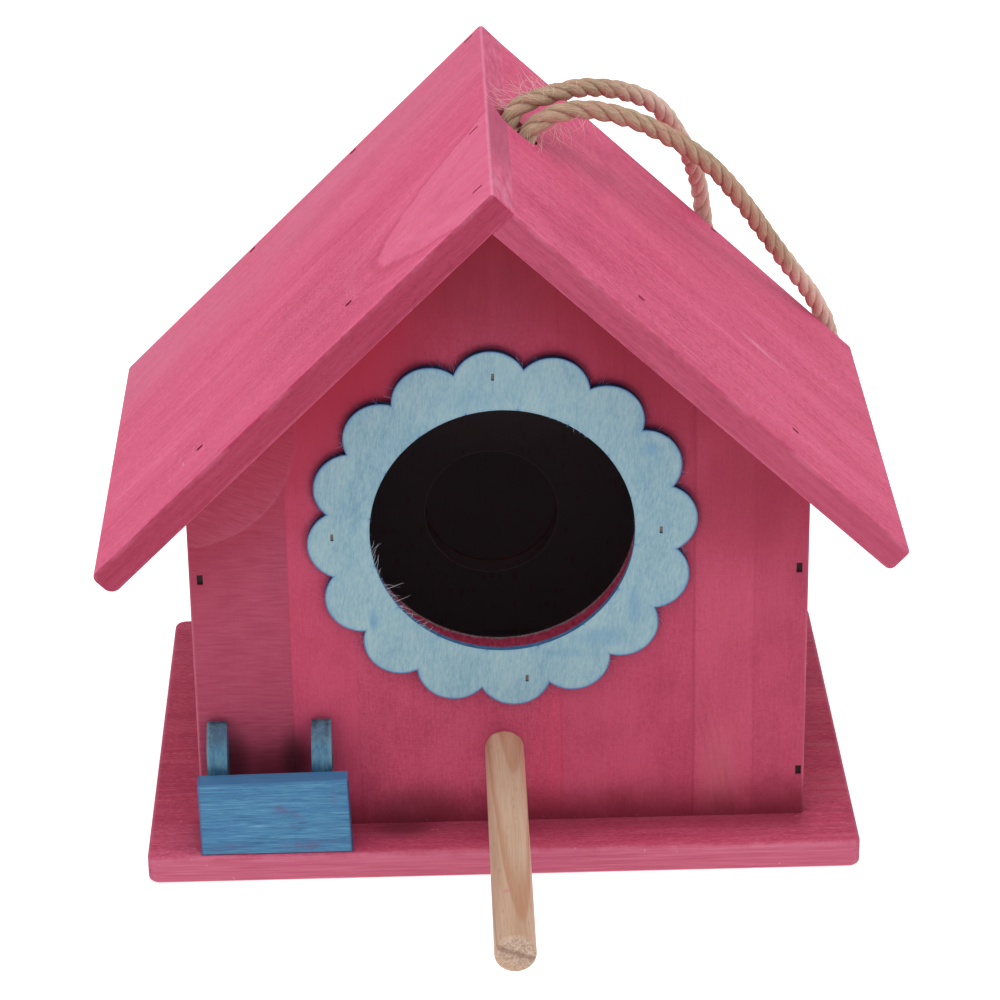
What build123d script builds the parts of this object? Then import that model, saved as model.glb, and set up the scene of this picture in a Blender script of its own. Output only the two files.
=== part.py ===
from build123d import *
import os
from math import cos, sin, tan, radians, pi

# Small gabled birdhouse of 6 mm boards, standing on a wide base board.
# Frame: origin at the centre of the base board's underside, +Z up,
# +X to the viewer's right, the front with the entrance hole faces -Y.
# All sizes in millimetres.

# ---------------------------------------------------------------- sizes
BOARD = 6.0               # thickness of every board of the house
PLY = 3.0                 # plywood of the cover
RING_T = 1.5              # thin plywood of the entrance ring

BASE_W, BASE_D = 146.6, 108.0
BASE_CORNER = 2.5

WALL_W = 125.0            # over the side panels
FRONT_Y = -41.75          # outer face of the front panel
BACK_Y = 51.35            # outer face of the back panel, flush with the roof

SLOPE_L = 44.4            # degrees, left roof board
SLOPE_R = 43.2            # degrees, right roof board
RIDGE_IN = (-0.6, 140.4)  # x, z where the undersides of both boards meet
ROOF_FRONT, ROOF_BACK = -53.0, 51.35
ROOF_L_LEN = 112.9        # outer face of the left board, ridge to eave
ROOF_R_LEN = 106.9        # outer face of the right board, joint to eave

HOLE_X, HOLE_Z, HOLE_R = 0.25, 73.45, 27.7   # entrance in the front panel
RING_X, RING_Z, RING_R_IN = 0.7, 73.2, 26.6  # ring, a little smaller than the hole and off its centre
SCALLOPS = 16
SCALLOP_PITCH_R, SCALLOP_R = 31.6, 7.6
SCALLOP_START = 3.75      # degrees, centre of the first scallop

PERCH_X, PERCH_Z, PERCH_R = 0.5, 23.2, 4.0
PERCH_OUT = 79.4          # length in front of the front panel

TROUGH_STOCK = 4.1
TROUGH_OUT = 11.5         # face of the trough's board to the front panel
TROUGH_H = 16.5

CLEAN_Z, CLEAN_R = 36.0, 15.0      # clean-out hole in the back panel
COVER_R, NECK_W = 19.0, 15.0
PIVOT_Z = 62.0
COVER_GAP, WASHER_GAP = 0.3, 0.2
SCREW_R, COVER_BORE_R = 1.5, 1.56
HEAD_R, HEAD_H = 3.3, 2.1

ROPE_R = 2.0
ROPE_HOLE_X, ROPE_HOLE_Y, ROPE_HOLE_R = 5.6, 2.75, 4.3
KNOT = (5.6, 2.75, 126.4)
KNOT_R = 5.6

HEAD_SINK = 0.6           # nail heads lie this far under the surface
HEAD_T = 0.8

# ------------------------------------------------- derived section points
aL, aR = radians(SLOPE_L), radians(SLOPE_R)
dL, dR = (-cos(aL), -sin(aL)), (cos(aR), -sin(aR))      # down the slopes
nL, nR = (-sin(aL), cos(aL)), (sin(aR), cos(aR))        # out of the slopes


def along(p, d, s):
    return (p[0] + d[0] * s, p[1] + d[1] * s)


R = RIDGE_IN
t_end = BOARD / -(dL[0] * nR[0] + dL[1] * nR[1])
Q = along(R, dL, -t_end)            # joint line on the outside
P = along(Q, nL, BOARD)             # ridge line
AL = along(P, dL, ROOF_L_LEN)
BL = along(AL, nL, -BOARD)
AR = along(Q, dR, ROOF_R_LEN)
BR = along(AR, nR, -BOARD)


def under_left(x):
    return R[1] - (R[0] - x) * tan(aL)


def under_right(x):
    return R[1] - (x - R[0]) * tan(aR)


HALF = WALL_W / 2


def facing(y):
    """Plane parallel to the front at this y: local x = X, local y = Z, normal -Y."""
    return Plane.XZ.offset(-y)


left_slope = Plane(origin=(P[0], 0, P[1]), x_dir=(dL[0], 0, dL[1]), z_dir=(nL[0], 0, nL[1]))
right_slope = Plane(origin=(Q[0], 0, Q[1]), x_dir=(dR[0], 0, dR[1]), z_dir=(nR[0], 0, nR[1]))
# on left_slope local y runs to -Y, on right_slope to +Y
ridge_nails_at = [(3.8, 43.8), (3.9, 9.5), (3.9, -49.8)]
left_nails_at = [(39.4, 38.8), (82.0, 39.6), (39.6, -49.8), (71.5, -49.8)]
right_nails_at = [(34.3, -38.9), (76.5, -39.5), (63.5, 49.8)]
front_nails_at = [(-60.3, 63.3), (60.6, 63.0), (61.3, 16.3), (-60.3, 16.0)]
back_nails_at = [(-60.0, 64.0), (60.0, 64.0), (60.0, 18.0), (-60.0, 18.0)]
base_nails_at = [(-38.0, FRONT_Y + 3), (38.0, FRONT_Y + 3), (-38.0, BACK_Y - 3), (38.0, BACK_Y - 3),
                 (-HALF + 3, -14.0), (-HALF + 3, 24.0), (HALF - 3, -14.0), (HALF - 3, 24.0)]
ring_pins_at = [(-0.8, 106.9), (32.5, 72.9), (5.3, 40.1), (-33.4, 72.8)]

os.makedirs("parts", exist_ok=True)


def save(piece, name):
    piece.part.label = name
    export_step(piece.part, "parts/" + name + ".step")


# ------------------------------------------------------------ base board
with BuildPart() as base_board:
    with BuildSketch(Plane.XY):
        Rectangle(BASE_W, BASE_D)
    extrude(amount=BOARD)
    fillet(base_board.edges().filter_by(Axis.Z), BASE_CORNER)
    fillet(base_board.faces().sort_by(Axis.Z)[-1].edges(), 0.9)
    fillet(base_board.faces().sort_by(Axis.Z)[0].edges(), 0.9)
    # pockets for the nail heads in the underside
    with BuildSketch(Plane.XY):
        with Locations(*base_nails_at):
            Rectangle(2.4, 1.2)
    extrude(amount=HEAD_SINK + HEAD_T, mode=Mode.SUBTRACT)
save(base_board, "base_board")

# ----------------------------------------------------------- front panel
with BuildPart() as front_panel:
    with BuildSketch(facing(FRONT_Y)):
        with BuildLine():
            Polyline((-HALF, BOARD), (HALF, BOARD), (HALF, under_right(HALF)), R,
                     (-HALF, under_left(-HALF)), close=True)
        make_face()
    extrude(amount=-BOARD)
    fillet(front_panel.edges().filter_by(Axis.Z).group_by(Axis.Y)[0], 0.6)
    with BuildSketch(facing(FRONT_Y)):
        with Locations((HOLE_X, HOLE_Z)):
            Circle(HOLE_R)
        with Locations((PERCH_X, PERCH_Z)):
            Circle(PERCH_R)
    extrude(amount=-BOARD, mode=Mode.SUBTRACT)
    with BuildSketch(facing(FRONT_Y)):
        with Locations(*front_nails_at):
            Rectangle(1.2, 2.2)
    extrude(amount=-(HEAD_SINK + HEAD_T), mode=Mode.SUBTRACT)
save(front_panel, "front_panel")

# ------------------------------------------------------------ back panel
with BuildPart() as back_panel:
    with BuildSketch(facing(BACK_Y)):
        with BuildLine():
            Polyline((-HALF, BOARD), (HALF, BOARD), (HALF, under_right(HALF)), R,
                     (-HALF, under_left(-HALF)), close=True)
        make_face()
        with Locations((0, CLEAN_Z)):
            Circle(CLEAN_R, mode=Mode.SUBTRACT)
    extrude(amount=BOARD)
    fillet(back_panel.edges().filter_by(Axis.Z).group_by(Axis.Y)[-1], 0.6)
    with BuildSketch(facing(BACK_Y)):
        with Locations((0, PIVOT_Z)):
            Circle(SCREW_R)
    extrude(amount=4.8, mode=Mode.SUBTRACT)
    with BuildSketch(facing(BACK_Y)):
        with Locations(*back_nails_at):
            Rectangle(1.2, 2.2)
    extrude(amount=HEAD_SINK + HEAD_T, mode=Mode.SUBTRACT)
save(back_panel, "back_panel")

# ----------------------------------------------- side panels, between them
with BuildPart() as left_side_panel:
    with BuildSketch(facing(FRONT_Y + BOARD)):
        with BuildLine():
            Polyline((-HALF, BOARD), (-HALF + BOARD, BOARD), (-HALF + BOARD, under_left(-HALF + BOARD)),
                     (-HALF, under_left(-HALF)), close=True)
        make_face()
    extrude(amount=-(BACK_Y - FRONT_Y - 2 * BOARD))
save(left_side_panel, "left_side_panel")

with BuildPart() as right_side_panel:
    with BuildSketch(facing(FRONT_Y + BOARD)):
        with BuildLine():
            Polyline((HALF, BOARD), (HALF, under_right(HALF)), (HALF - BOARD, under_right(HALF - BOARD)),
                     (HALF - BOARD, BOARD), close=True)
        make_face()
    extrude(amount=-(BACK_Y - FRONT_Y - 2 * BOARD))
save(right_side_panel, "right_side_panel")

# ------------------------------------------------------------ roof boards
# The left board's square end covers the right board's upper end.
with BuildPart() as roof_left_board:
    with BuildSketch(facing(ROOF_FRONT)):
        with BuildLine():
            Polyline(P, Q, BL, AL, close=True)
        make_face()
    extrude(amount=-(ROOF_BACK - ROOF_FRONT))
    long_edges = roof_left_board.edges().filter_by(Axis.Y)
    fillet(long_edges.sort_by(Axis.X)[0], 1.7)
    fillet(roof_left_board.edges().filter_by(Axis.Y).sort_by(Axis.Z)[0], 2.2)
    fillet(roof_left_board.edges().filter_by(Axis.Y).sort_by(Axis.Z)[-1], 0.9)
    fillet(roof_left_board.faces().sort_by(Axis.Y)[0].edges(), 0.55)
    # hole for the rope, straight down through the ridge joint
    with BuildSketch(Plane.XY.offset(120)):
        with Locations((ROPE_HOLE_X, ROPE_HOLE_Y)):
            Circle(ROPE_HOLE_R)
    extrude(amount=40, mode=Mode.SUBTRACT)
    with BuildSketch(left_slope):
        with Locations(*ridge_nails_at):
            Rectangle(2.5, 0.7)
        with Locations(*left_nails_at):
            Rectangle(1.7, 1.2)
    extrude(amount=-(HEAD_SINK + HEAD_T), mode=Mode.SUBTRACT)
save(roof_left_board, "roof_left_board")

with BuildPart() as roof_right_board:
    with BuildSketch(facing(ROOF_FRONT)):
        with BuildLine():
            Polyline(R, Q, AR, BR, close=True)
        make_face()
    extrude(amount=-(ROOF_BACK - ROOF_FRONT))
    fillet(roof_right_board.edges().filter_by(Axis.Y).sort_by(Axis.X)[-1], 1.1)
    fillet(roof_right_board.edges().filter_by(Axis.Y).sort_by(Axis.Z)[0], 1.5)
    fillet(roof_right_board.faces().sort_by(Axis.Y)[0].edges(), 0.55)
    with BuildSketch(Plane.XY.offset(120)):
        with Locations((ROPE_HOLE_X, ROPE_HOLE_Y)):
            Circle(ROPE_HOLE_R)
    extrude(amount=40, mode=Mode.SUBTRACT)
    with BuildSketch(right_slope):
        with Locations(*right_nails_at):
            Rectangle(1.7, 1.2)
    extrude(amount=-(HEAD_SINK + HEAD_T), mode=Mode.SUBTRACT)
save(roof_right_board, "roof_right_board")

# ---------------------------------------------- scalloped entrance ring
with BuildPart() as entrance_ring:
    with BuildSketch(facing(FRONT_Y)):
        with Locations((RING_X, RING_Z)):
            Circle(33.0)
            with PolarLocations(SCALLOP_PITCH_R, SCALLOPS, start_angle=SCALLOP_START):
                Circle(SCALLOP_R)
            Circle(RING_R_IN, mode=Mode.SUBTRACT)
    extrude(amount=RING_T)
    with BuildSketch(facing(FRONT_Y - RING_T)):
        with Locations(*ring_pins_at):
            Rectangle(0.6, 1.5)
    extrude(amount=-0.8, mode=Mode.SUBTRACT)
save(entrance_ring, "entrance_ring")

# ----------------------------------------------------------------- perch
with BuildPart() as perch_dowel:
    with BuildSketch(facing(FRONT_Y + BOARD)):
        with Locations((PERCH_X, PERCH_Z)):
            Circle(PERCH_R)
    extrude(amount=BOARD + PERCH_OUT)
    chamfer(perch_dowel.faces().sort_by(Axis.Y)[0].edges(), 0.35)
save(perch_dowel, "perch_dowel")

# ---------------------------------------------------------- feed trough
TROUGH_BACK = FRONT_Y - TROUGH_OUT + TROUGH_STOCK      # back of its board
with BuildPart() as trough_front_board:
    with BuildSketch(facing(FRONT_Y - TROUGH_OUT)):
        with BuildLine():
            Polyline((-62.1, BOARD), (-31.1, BOARD), (-31.7, BOARD + TROUGH_H + 0.3),
                     (-62.3, BOARD + TROUGH_H - 0.1), close=True)
        make_face()
    extrude(amount=-TROUGH_STOCK)
    fillet(trough_front_board.faces().sort_by(Axis.Y)[0].edges(), 0.5)
save(trough_front_board, "trough_front_board")


def cheek(x0):
    with BuildPart() as piece:
        with BuildSketch(Plane.YZ.offset(x0)):
            with BuildLine():
                Polyline((FRONT_Y, 31.0), (FRONT_Y, BOARD), (TROUGH_BACK, BOARD), (TROUGH_BACK, 23.2))
                ThreePointArc((TROUGH_BACK, 23.2), (FRONT_Y - 5.9, 28.5), (FRONT_Y - 1.6, 31.4))
                Line((FRONT_Y - 1.6, 31.4), (FRONT_Y, 31.0))
            make_face()
        extrude(amount=TROUGH_STOCK)
    return piece


trough_left_cheek = cheek(-60.3)
save(trough_left_cheek, "trough_left_cheek")
trough_right_cheek = cheek(-39.0)
save(trough_right_cheek, "trough_right_cheek")


# ----------------------------------------------------------------- nails
# Brads: a flat head at the bottom of its pocket and a flat shank.
def brads(plane_head, plane_shank, places, head, shank, length, inward):
    with BuildPart() as group:
        with BuildSketch(plane_head):
            with Locations(*places):
                Rectangle(*head)
        extrude(amount=inward * HEAD_T)
        with BuildSketch(plane_shank):
            with Locations(*places):
                Rectangle(*shank)
        extrude(amount=inward * length)
    return group


front_panel_nails = brads(facing(FRONT_Y + HEAD_SINK), facing(FRONT_Y + HEAD_SINK + HEAD_T),
                          front_nails_at, (1.2, 2.2), (0.9, 1.3), 14.0, -1)
save(front_panel_nails, "front_panel_nails")

back_panel_nails = brads(facing(BACK_Y - HEAD_SINK), facing(BACK_Y - HEAD_SINK - HEAD_T),
                         back_nails_at, (1.2, 2.2), (0.9, 1.3), 14.0, 1)
save(back_panel_nails, "back_panel_nails")

base_nails = brads(Plane.XY.offset(HEAD_SINK), Plane.XY.offset(HEAD_SINK + HEAD_T),
                   base_nails_at, (2.4, 1.2), (1.3, 0.9), 15.0, 1)
save(base_nails, "base_nails")

ridge_nails = brads(left_slope.offset(-HEAD_SINK), left_slope.offset(-HEAD_SINK - HEAD_T),
                    ridge_nails_at, (2.5, 0.7), (1.3, 0.7), 15.0, -1)
save(ridge_nails, "ridge_nails")

roof_left_nails = brads(left_slope.offset(-HEAD_SINK), left_slope.offset(-HEAD_SINK - HEAD_T),
                        left_nails_at, (1.7, 1.2), (1.1, 0.9), 14.0, -1)
save(roof_left_nails, "roof_left_nails")

roof_right_nails = brads(right_slope.offset(-HEAD_SINK), right_slope.offset(-HEAD_SINK - HEAD_T),
                         right_nails_at, (1.7, 1.2), (1.1, 0.9), 14.0, -1)
save(roof_right_nails, "roof_right_nails")

with BuildPart() as ring_pins:
    with BuildSketch(facing(FRONT_Y - RING_T + 0.3)):
        with Locations(*ring_pins_at):
            Rectangle(0.6, 1.5)
    extrude(amount=-0.5)
    with BuildSketch(facing(FRONT_Y - RING_T + 0.8)):
        with Locations(*ring_pins_at):
            Rectangle(0.5, 0.8)
    extrude(amount=-5.5)
save(ring_pins, "ring_pins")

# ------------------------------------------- clean-out cover on the back
COVER_IN = BACK_Y + COVER_GAP
COVER_OUT = COVER_IN + PLY
with BuildPart() as cleanout_cover:
    with BuildSketch(facing(COVER_IN)) as outline:
        with Locations((0, CLEAN_Z)):
            Circle(COVER_R)
        with Locations((0, (CLEAN_Z + PIVOT_Z) / 2)):
            Rectangle(NECK_W, PIVOT_Z - CLEAN_Z)
        with Locations((0, PIVOT_Z)):
            Circle(NECK_W / 2)
        with Locations((0, PIVOT_Z)):
            Circle(COVER_BORE_R, mode=Mode.SUBTRACT)
    extrude(amount=-PLY)
    outer = cleanout_cover.faces().sort_by(Axis.Y)[-1]
    fillet(outer.outer_wire().edges(), 0.6)
save(cleanout_cover, "cleanout_cover")

WASHER_IN = COVER_OUT + WASHER_GAP
WASHER_T = 0.8
with BuildPart() as cleanout_washer:
    with BuildSketch(facing(WASHER_IN)):
        with Locations((0, PIVOT_Z)):
            Circle(4.2)
            Circle(SCREW_R + 0.1, mode=Mode.SUBTRACT)
    extrude(amount=-WASHER_T)
save(cleanout_washer, "cleanout_washer")

HEAD_IN = WASHER_IN + WASHER_T
with BuildPart() as cleanout_screw:
    # shank up to the head, pan head with a cross slot, turned-down tip
    with BuildSketch(facing(HEAD_IN)):
        with Locations((0, PIVOT_Z)):
            Circle(SCREW_R)
    extrude(amount=HEAD_IN - (BACK_Y - 4.8))
    chamfer(cleanout_screw.faces().sort_by(Axis.Y)[0].edges(), 0.6)
    with BuildSketch(facing(HEAD_IN)):
        with Locations((0, PIVOT_Z)):
            Circle(HEAD_R)
    extrude(amount=-HEAD_H)
    fillet(cleanout_screw.faces().sort_by(Axis.Y)[-1].edges(), 1.4)
    with BuildSketch(facing(HEAD_IN + HEAD_H)):
        with Locations((0, PIVOT_Z)):
            Rectangle(3.4, 0.7)
            Rectangle(0.7, 3.4)
    extrude(amount=1.1, mode=Mode.SUBTRACT)
save(cleanout_screw, "cleanout_screw")

# ------------------------------------------------------- hanging rope
# One length of soft cord. Both ends go down the hole in the ridge to a
# knot inside; the loop lies back over the right roof board and its bight
# hangs behind the house.
rope_route = [
    (7.3, 1.7, 127.5),
    (7.4, 1.6, 135.0),
    (7.3, 1.7, 142.4),
    (16.7, 5.18, 145.7),
    (27.96, 11.57, 141.51),
    (38.08, 18.0, 134.45),
    (46.9, 24.33, 126.07),
    (53.67, 30.77, 116.24),
    (59.9, 37.07, 105.5),
    (65.77, 43.4, 95.45),
    (72.3, 50.16, 85.17),
    (77.6, 58.3, 72.5),
    (79.7, 60.4, 57.8),
    (79.9, 61.2, 42.6),
    (74.4, 61.4, 34.2),
    (65.2, 61.3, 31.3),
    (55.8, 61.0, 34.5),
    (50.2, 60.8, 42.4),
    (49.5, 60.9, 57.0),
    (50.4, 60.5, 72.5),
    (49.5, 59.3, 90.5),
    (47.39, 54.2, 108.6),
    (44.47, 43.9, 120.1),
    (40.78, 37.73, 128.6),
    (36.25, 31.27, 136.96),
    (29.54, 24.03, 142.4),
    (20.98, 16.88, 146.1),
    (13.27, 8.66, 147.5),
    (3.8, 4.0, 145.8),
    (3.8, 3.8, 137.0),
    (3.9, 3.9, 127.5),
]
pts = [Vector(*p) for p in rope_route]
radii = []
for a, b, c in zip(pts, pts[1:], pts[2:]):
    turn = radians((b - a).get_angle(c - b))
    radii.append(0.45 * min((b - a).length, (c - b).length) / tan(turn / 2))
print("rope radii", [round(r, 1) for r in radii])
print("rope runs", [round((b - a).length, 1) for a, b in zip(pts, pts[1:])])

with BuildPart() as hanging_rope:
    with BuildLine() as rope_line:
        FilletPolyline(*rope_route, radius=radii)
    with BuildSketch(Plane(origin=rope_line.line @ 0, z_dir=rope_line.line % 0)):
        Circle(ROPE_R)
    sweep()
rope_length = sum(e.length for e in rope_line.edges())
print("rope length", round(rope_length, 1), "volume", round(hanging_rope.part.volume, 1),
      "section times length", round(pi * ROPE_R ** 2 * rope_length, 1))
save(hanging_rope, "hanging_rope")

with BuildPart() as rope_knot:
    with BuildSketch(Plane.XZ.offset(-KNOT[1])):
        with BuildLine():
            ThreePointArc((KNOT[0], KNOT[2] + KNOT_R - 0.6), (KNOT[0] + KNOT_R, KNOT[2]),
                          (KNOT[0], KNOT[2] - KNOT_R + 0.6))
            Line((KNOT[0], KNOT[2] - KNOT_R + 0.6), (KNOT[0], KNOT[2] + KNOT_R - 0.6))
        make_face()
    revolve(axis=Axis((KNOT[0], KNOT[1], KNOT[2]), (0, 0, 1)))
save(rope_knot, "rope_knot")
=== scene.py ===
import math
import random

import bpy
import numpy as np
from mathutils import Matrix, Vector


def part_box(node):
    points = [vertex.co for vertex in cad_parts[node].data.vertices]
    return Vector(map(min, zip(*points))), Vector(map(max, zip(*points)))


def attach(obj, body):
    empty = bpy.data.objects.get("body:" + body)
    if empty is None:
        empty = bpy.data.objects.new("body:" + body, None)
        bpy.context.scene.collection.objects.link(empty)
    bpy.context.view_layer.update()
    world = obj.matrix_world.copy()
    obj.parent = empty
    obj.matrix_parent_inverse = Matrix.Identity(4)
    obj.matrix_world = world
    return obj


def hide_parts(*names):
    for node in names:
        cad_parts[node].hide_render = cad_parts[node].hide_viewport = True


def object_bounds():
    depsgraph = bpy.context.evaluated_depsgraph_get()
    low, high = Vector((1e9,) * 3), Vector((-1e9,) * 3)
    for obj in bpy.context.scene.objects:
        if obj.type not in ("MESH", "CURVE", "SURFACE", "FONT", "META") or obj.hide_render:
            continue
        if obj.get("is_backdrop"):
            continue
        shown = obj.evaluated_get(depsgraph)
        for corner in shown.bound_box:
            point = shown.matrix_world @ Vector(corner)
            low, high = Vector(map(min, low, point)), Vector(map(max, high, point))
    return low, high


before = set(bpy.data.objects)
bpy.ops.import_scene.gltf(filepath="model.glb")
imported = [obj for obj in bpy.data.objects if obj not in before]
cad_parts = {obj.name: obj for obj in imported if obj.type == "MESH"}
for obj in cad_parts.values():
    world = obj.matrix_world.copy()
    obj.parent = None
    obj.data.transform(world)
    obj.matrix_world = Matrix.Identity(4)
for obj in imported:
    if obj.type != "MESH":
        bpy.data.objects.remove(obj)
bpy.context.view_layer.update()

scene = bpy.context.scene
scene.view_settings.view_transform = "Standard"
scene.view_settings.look = "None"
scene.view_settings.exposure = 0.0
scene.view_settings.gamma = 1.0
MM = 0.001


# ------------------------------------------------------------------ camera
def camera_at(place, yaw, pitch, roll, lens):
    yaw, pitch, roll = (math.radians(a) for a in (yaw, pitch, roll))
    fwd = Vector((math.sin(yaw) * math.cos(pitch), math.cos(yaw) * math.cos(pitch), math.sin(pitch)))
    right = Vector((math.cos(yaw), -math.sin(yaw), 0))
    up = right.cross(fwd)
    r = right * math.cos(roll) + up * math.sin(roll)
    u = up * math.cos(roll) - right * math.sin(roll)
    data = bpy.data.cameras.new("camera")
    data.sensor_fit, data.sensor_width = "HORIZONTAL", 36.0
    data.lens = lens
    data.clip_start, data.clip_end = 0.05, 20
    cam = bpy.data.objects.new("camera", data)
    scene.collection.objects.link(cam)
    m = Matrix((r, u, -fwd)).transposed().to_4x4()
    m.translation = Vector(place)
    cam.matrix_world = m
    scene.camera = cam


camera_at((-0.01207, -0.69993, 0.38728), 1.0810, -25.0518, -0.8482, 131.066)


# -------------------------------------------------------------------- rope
ROPE_D = 0.004
rope_route = [
    (0.0073, 0.0017, 0.1275), (0.0074, 0.0016, 0.1350), (0.0073, 0.0017, 0.1424),
    (0.0167, 0.00518, 0.1457), (0.02796, 0.01157, 0.14151), (0.03808, 0.0180, 0.13445),
    (0.0469, 0.02433, 0.12607), (0.05367, 0.03077, 0.11624), (0.0599, 0.03707, 0.1055),
    (0.06577, 0.0434, 0.09545), (0.0723, 0.05016, 0.08517), (0.0776, 0.0583, 0.0725),
    (0.0797, 0.0604, 0.0578), (0.0799, 0.0612, 0.0426), (0.0744, 0.0614, 0.0342),
    (0.0652, 0.0613, 0.0313), (0.0558, 0.0610, 0.0345), (0.0502, 0.0608, 0.0424),
    (0.0495, 0.0609, 0.0570), (0.0504, 0.0605, 0.0725), (0.0495, 0.0593, 0.0905),
    (0.04739, 0.0542, 0.1086), (0.04447, 0.0439, 0.1201), (0.04078, 0.03773, 0.1286),
    (0.03625, 0.03127, 0.13696), (0.02954, 0.02403, 0.1424), (0.02098, 0.01688, 0.1461),
    (0.01327, 0.00866, 0.1475), (0.0038, 0.0040, 0.1458), (0.0038, 0.0038, 0.1370),
    (0.0039, 0.0039, 0.1275),
]


def nurbs_line(points, name):
    """The smooth line of a NURBS spline through a route's control points."""
    curve = bpy.data.curves.new(name, "CURVE")
    curve.dimensions = "3D"
    spline = curve.splines.new("NURBS")
    spline.points.add(len(points) - 1)
    for p, q in zip(spline.points, points):
        p.co = (*q, 1.0)
    spline.order_u = 3
    spline.use_endpoint_u = True
    curve.resolution_u = 24
    obj = bpy.data.objects.new(name, curve)
    scene.collection.objects.link(obj)
    bpy.context.view_layer.update()
    mesh = bpy.data.meshes.new_from_object(obj.evaluated_get(bpy.context.evaluated_depsgraph_get()))
    line = np.array([v.co for v in mesh.vertices], float)
    bpy.data.objects.remove(obj)
    bpy.data.meshes.remove(mesh)
    bpy.data.curves.remove(curve)
    return line


def resample(line, step):
    d = np.r_[0, np.cumsum(np.linalg.norm(np.diff(line, axis=0), axis=1))]
    s = np.linspace(0, d[-1], max(3, int(round(d[-1] / step)) + 1))
    return s, np.stack([np.interp(s, d, line[:, k]) for k in range(3)], 1)


def smooth(a, n):
    if n < 2:
        return a
    k = np.hanning(n + 2)[1:-1]
    k /= k.sum()
    pad = np.pad(a, [(n, n)] + [(0, 0)] * (a.ndim - 1), mode="edge")
    if a.ndim == 1:
        return np.convolve(pad, k, "same")[n:-n]
    return np.stack([np.convolve(pad[:, i], k, "same") for i in range(a.shape[1])], 1)[n:-n]


def unit(a):
    return a / np.maximum(np.linalg.norm(a, axis=-1, keepdims=True), 1e-12)


def frames(p):
    """Tangents and a frame carried along a line without twist."""
    t = unit(np.gradient(p, axis=0))
    n = np.zeros_like(t)
    start = np.array([1.0, 0, 0]) if abs(t[0, 0]) < 0.9 else np.array([0, 1.0, 0])
    n[0] = unit(start - t[0] * (start @ t[0]))
    for i in range(1, len(t)):
        v = n[i - 1] - t[i] * (n[i - 1] @ t[i])
        n[i] = v / np.linalg.norm(v)
    return t, n, np.cross(t, n)


def mesh_object(name, verts, faces, attributes=None, smooth_faces=True):
    me = bpy.data.meshes.new(name)
    me.from_pydata([tuple(v) for v in verts], [], faces)
    if smooth_faces:
        me.polygons.foreach_set("use_smooth", [True] * len(me.polygons))
    for key, values in (attributes or {}).items():
        values = np.asarray(values, np.float32)
        if values.ndim == 1:
            me.attributes.new(key, "FLOAT", "POINT").data.foreach_set("value", values)
        else:
            me.attributes.new(key, "FLOAT_VECTOR", "POINT").data.foreach_set("vector", values.ravel())
    me.validate()
    me.update()
    obj = bpy.data.objects.new(name, me)
    scene.collection.objects.link(obj)
    return obj


def laid_rope(line, radius, pitch, seed, step=0.0003, sides=14, strands=3, phase=0.0, hand=1.0):
    """Vertices, faces and texture coordinates of a rope of twisted strands that follows a line."""
    rng = np.random.default_rng(seed)
    s, p = resample(line, step)
    p = smooth(p, 7)
    t, n, b = frames(p)
    count = len(p)
    wander = smooth(rng.normal(0, 1, count), int(0.004 / step))
    wander /= max(np.abs(wander).max(), 1e-9)
    offset = radius * (0.39 + 0.025 * wander)
    verts, faces, st, gap = [], [], [], []
    for k in range(strands):
        own = smooth(rng.normal(0, 1, count), int(0.003 / step))
        own /= max(np.abs(own).max(), 1e-9)
        turn = phase + hand * 2 * math.pi * s / pitch + 2 * math.pi * k / strands + 0.16 * own
        out = n * np.cos(turn)[:, None] + b * np.sin(turn)[:, None]
        c = p + out * offset[:, None]
        tc = unit(np.gradient(c, axis=0))
        nn = unit(n - tc * np.sum(n * tc, 1, keepdims=True))
        bb = np.cross(tc, nn)
        angle = np.linspace(0, 2 * math.pi, sides, endpoint=False)
        lump = rng.normal(0, 1, (count, sides))
        lump = smooth(lump, int(0.0016 / step))
        lump = (np.roll(lump, 1, 1) + 2 * lump + np.roll(lump, -1, 1)) / 4
        lump /= max(np.abs(lump).max(), 1e-9)
        yarn = np.cos(6 * angle[None, :] + 2.2 * own[:, None] * 2 + 1.7 * k)
        r = radius * 0.62 * (1 + 0.035 * yarn + 0.085 * lump + 0.03 * wander[:, None])
        ring = (nn[:, None, :] * np.cos(angle)[None, :, None] + bb[:, None, :] * np.sin(angle)[None, :, None])
        v = c[:, None, :] + ring * r[:, :, None]
        base = len(verts) * 0 + sum(len(x) for x in verts)
        verts.append(v.reshape(-1, 3))
        st.append(np.stack([np.broadcast_to(np.cos(angle), (count, sides)),
                            np.broadcast_to(np.sin(angle), (count, sides)),
                            np.broadcast_to((s / radius)[:, None] + 11.0 * k, (count, sides))], -1).reshape(-1, 3))
        gap.append(np.clip(np.linalg.norm(v - p[:, None, :], axis=2) / radius, 0, 2).reshape(-1))
        i = np.arange(count - 1)[:, None] * sides
        j = np.arange(sides)[None, :]
        j2 = (j + 1) % sides
        quads = np.stack([i + j, i + j2, i + sides + j2, i + sides + j], -1).reshape(-1, 4) + base
        faces += quads.tolist()
        faces.append([base + x for x in range(sides)][::-1])
        faces.append([base + (count - 1) * sides + x for x in range(sides)])
    return np.concatenate(verts), faces, {"strand": np.concatenate(st), "reach": np.concatenate(gap)}, s, p


rope_line = nurbs_line(rope_route, "rope_line")
verts, faces, extra, rope_s, rope_p = laid_rope(rope_line, ROPE_D / 2, 0.0138, seed=4)
rope = mesh_object("rope_strands", verts, faces, extra)
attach(rope, "house")
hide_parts("hanging_rope")


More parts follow.
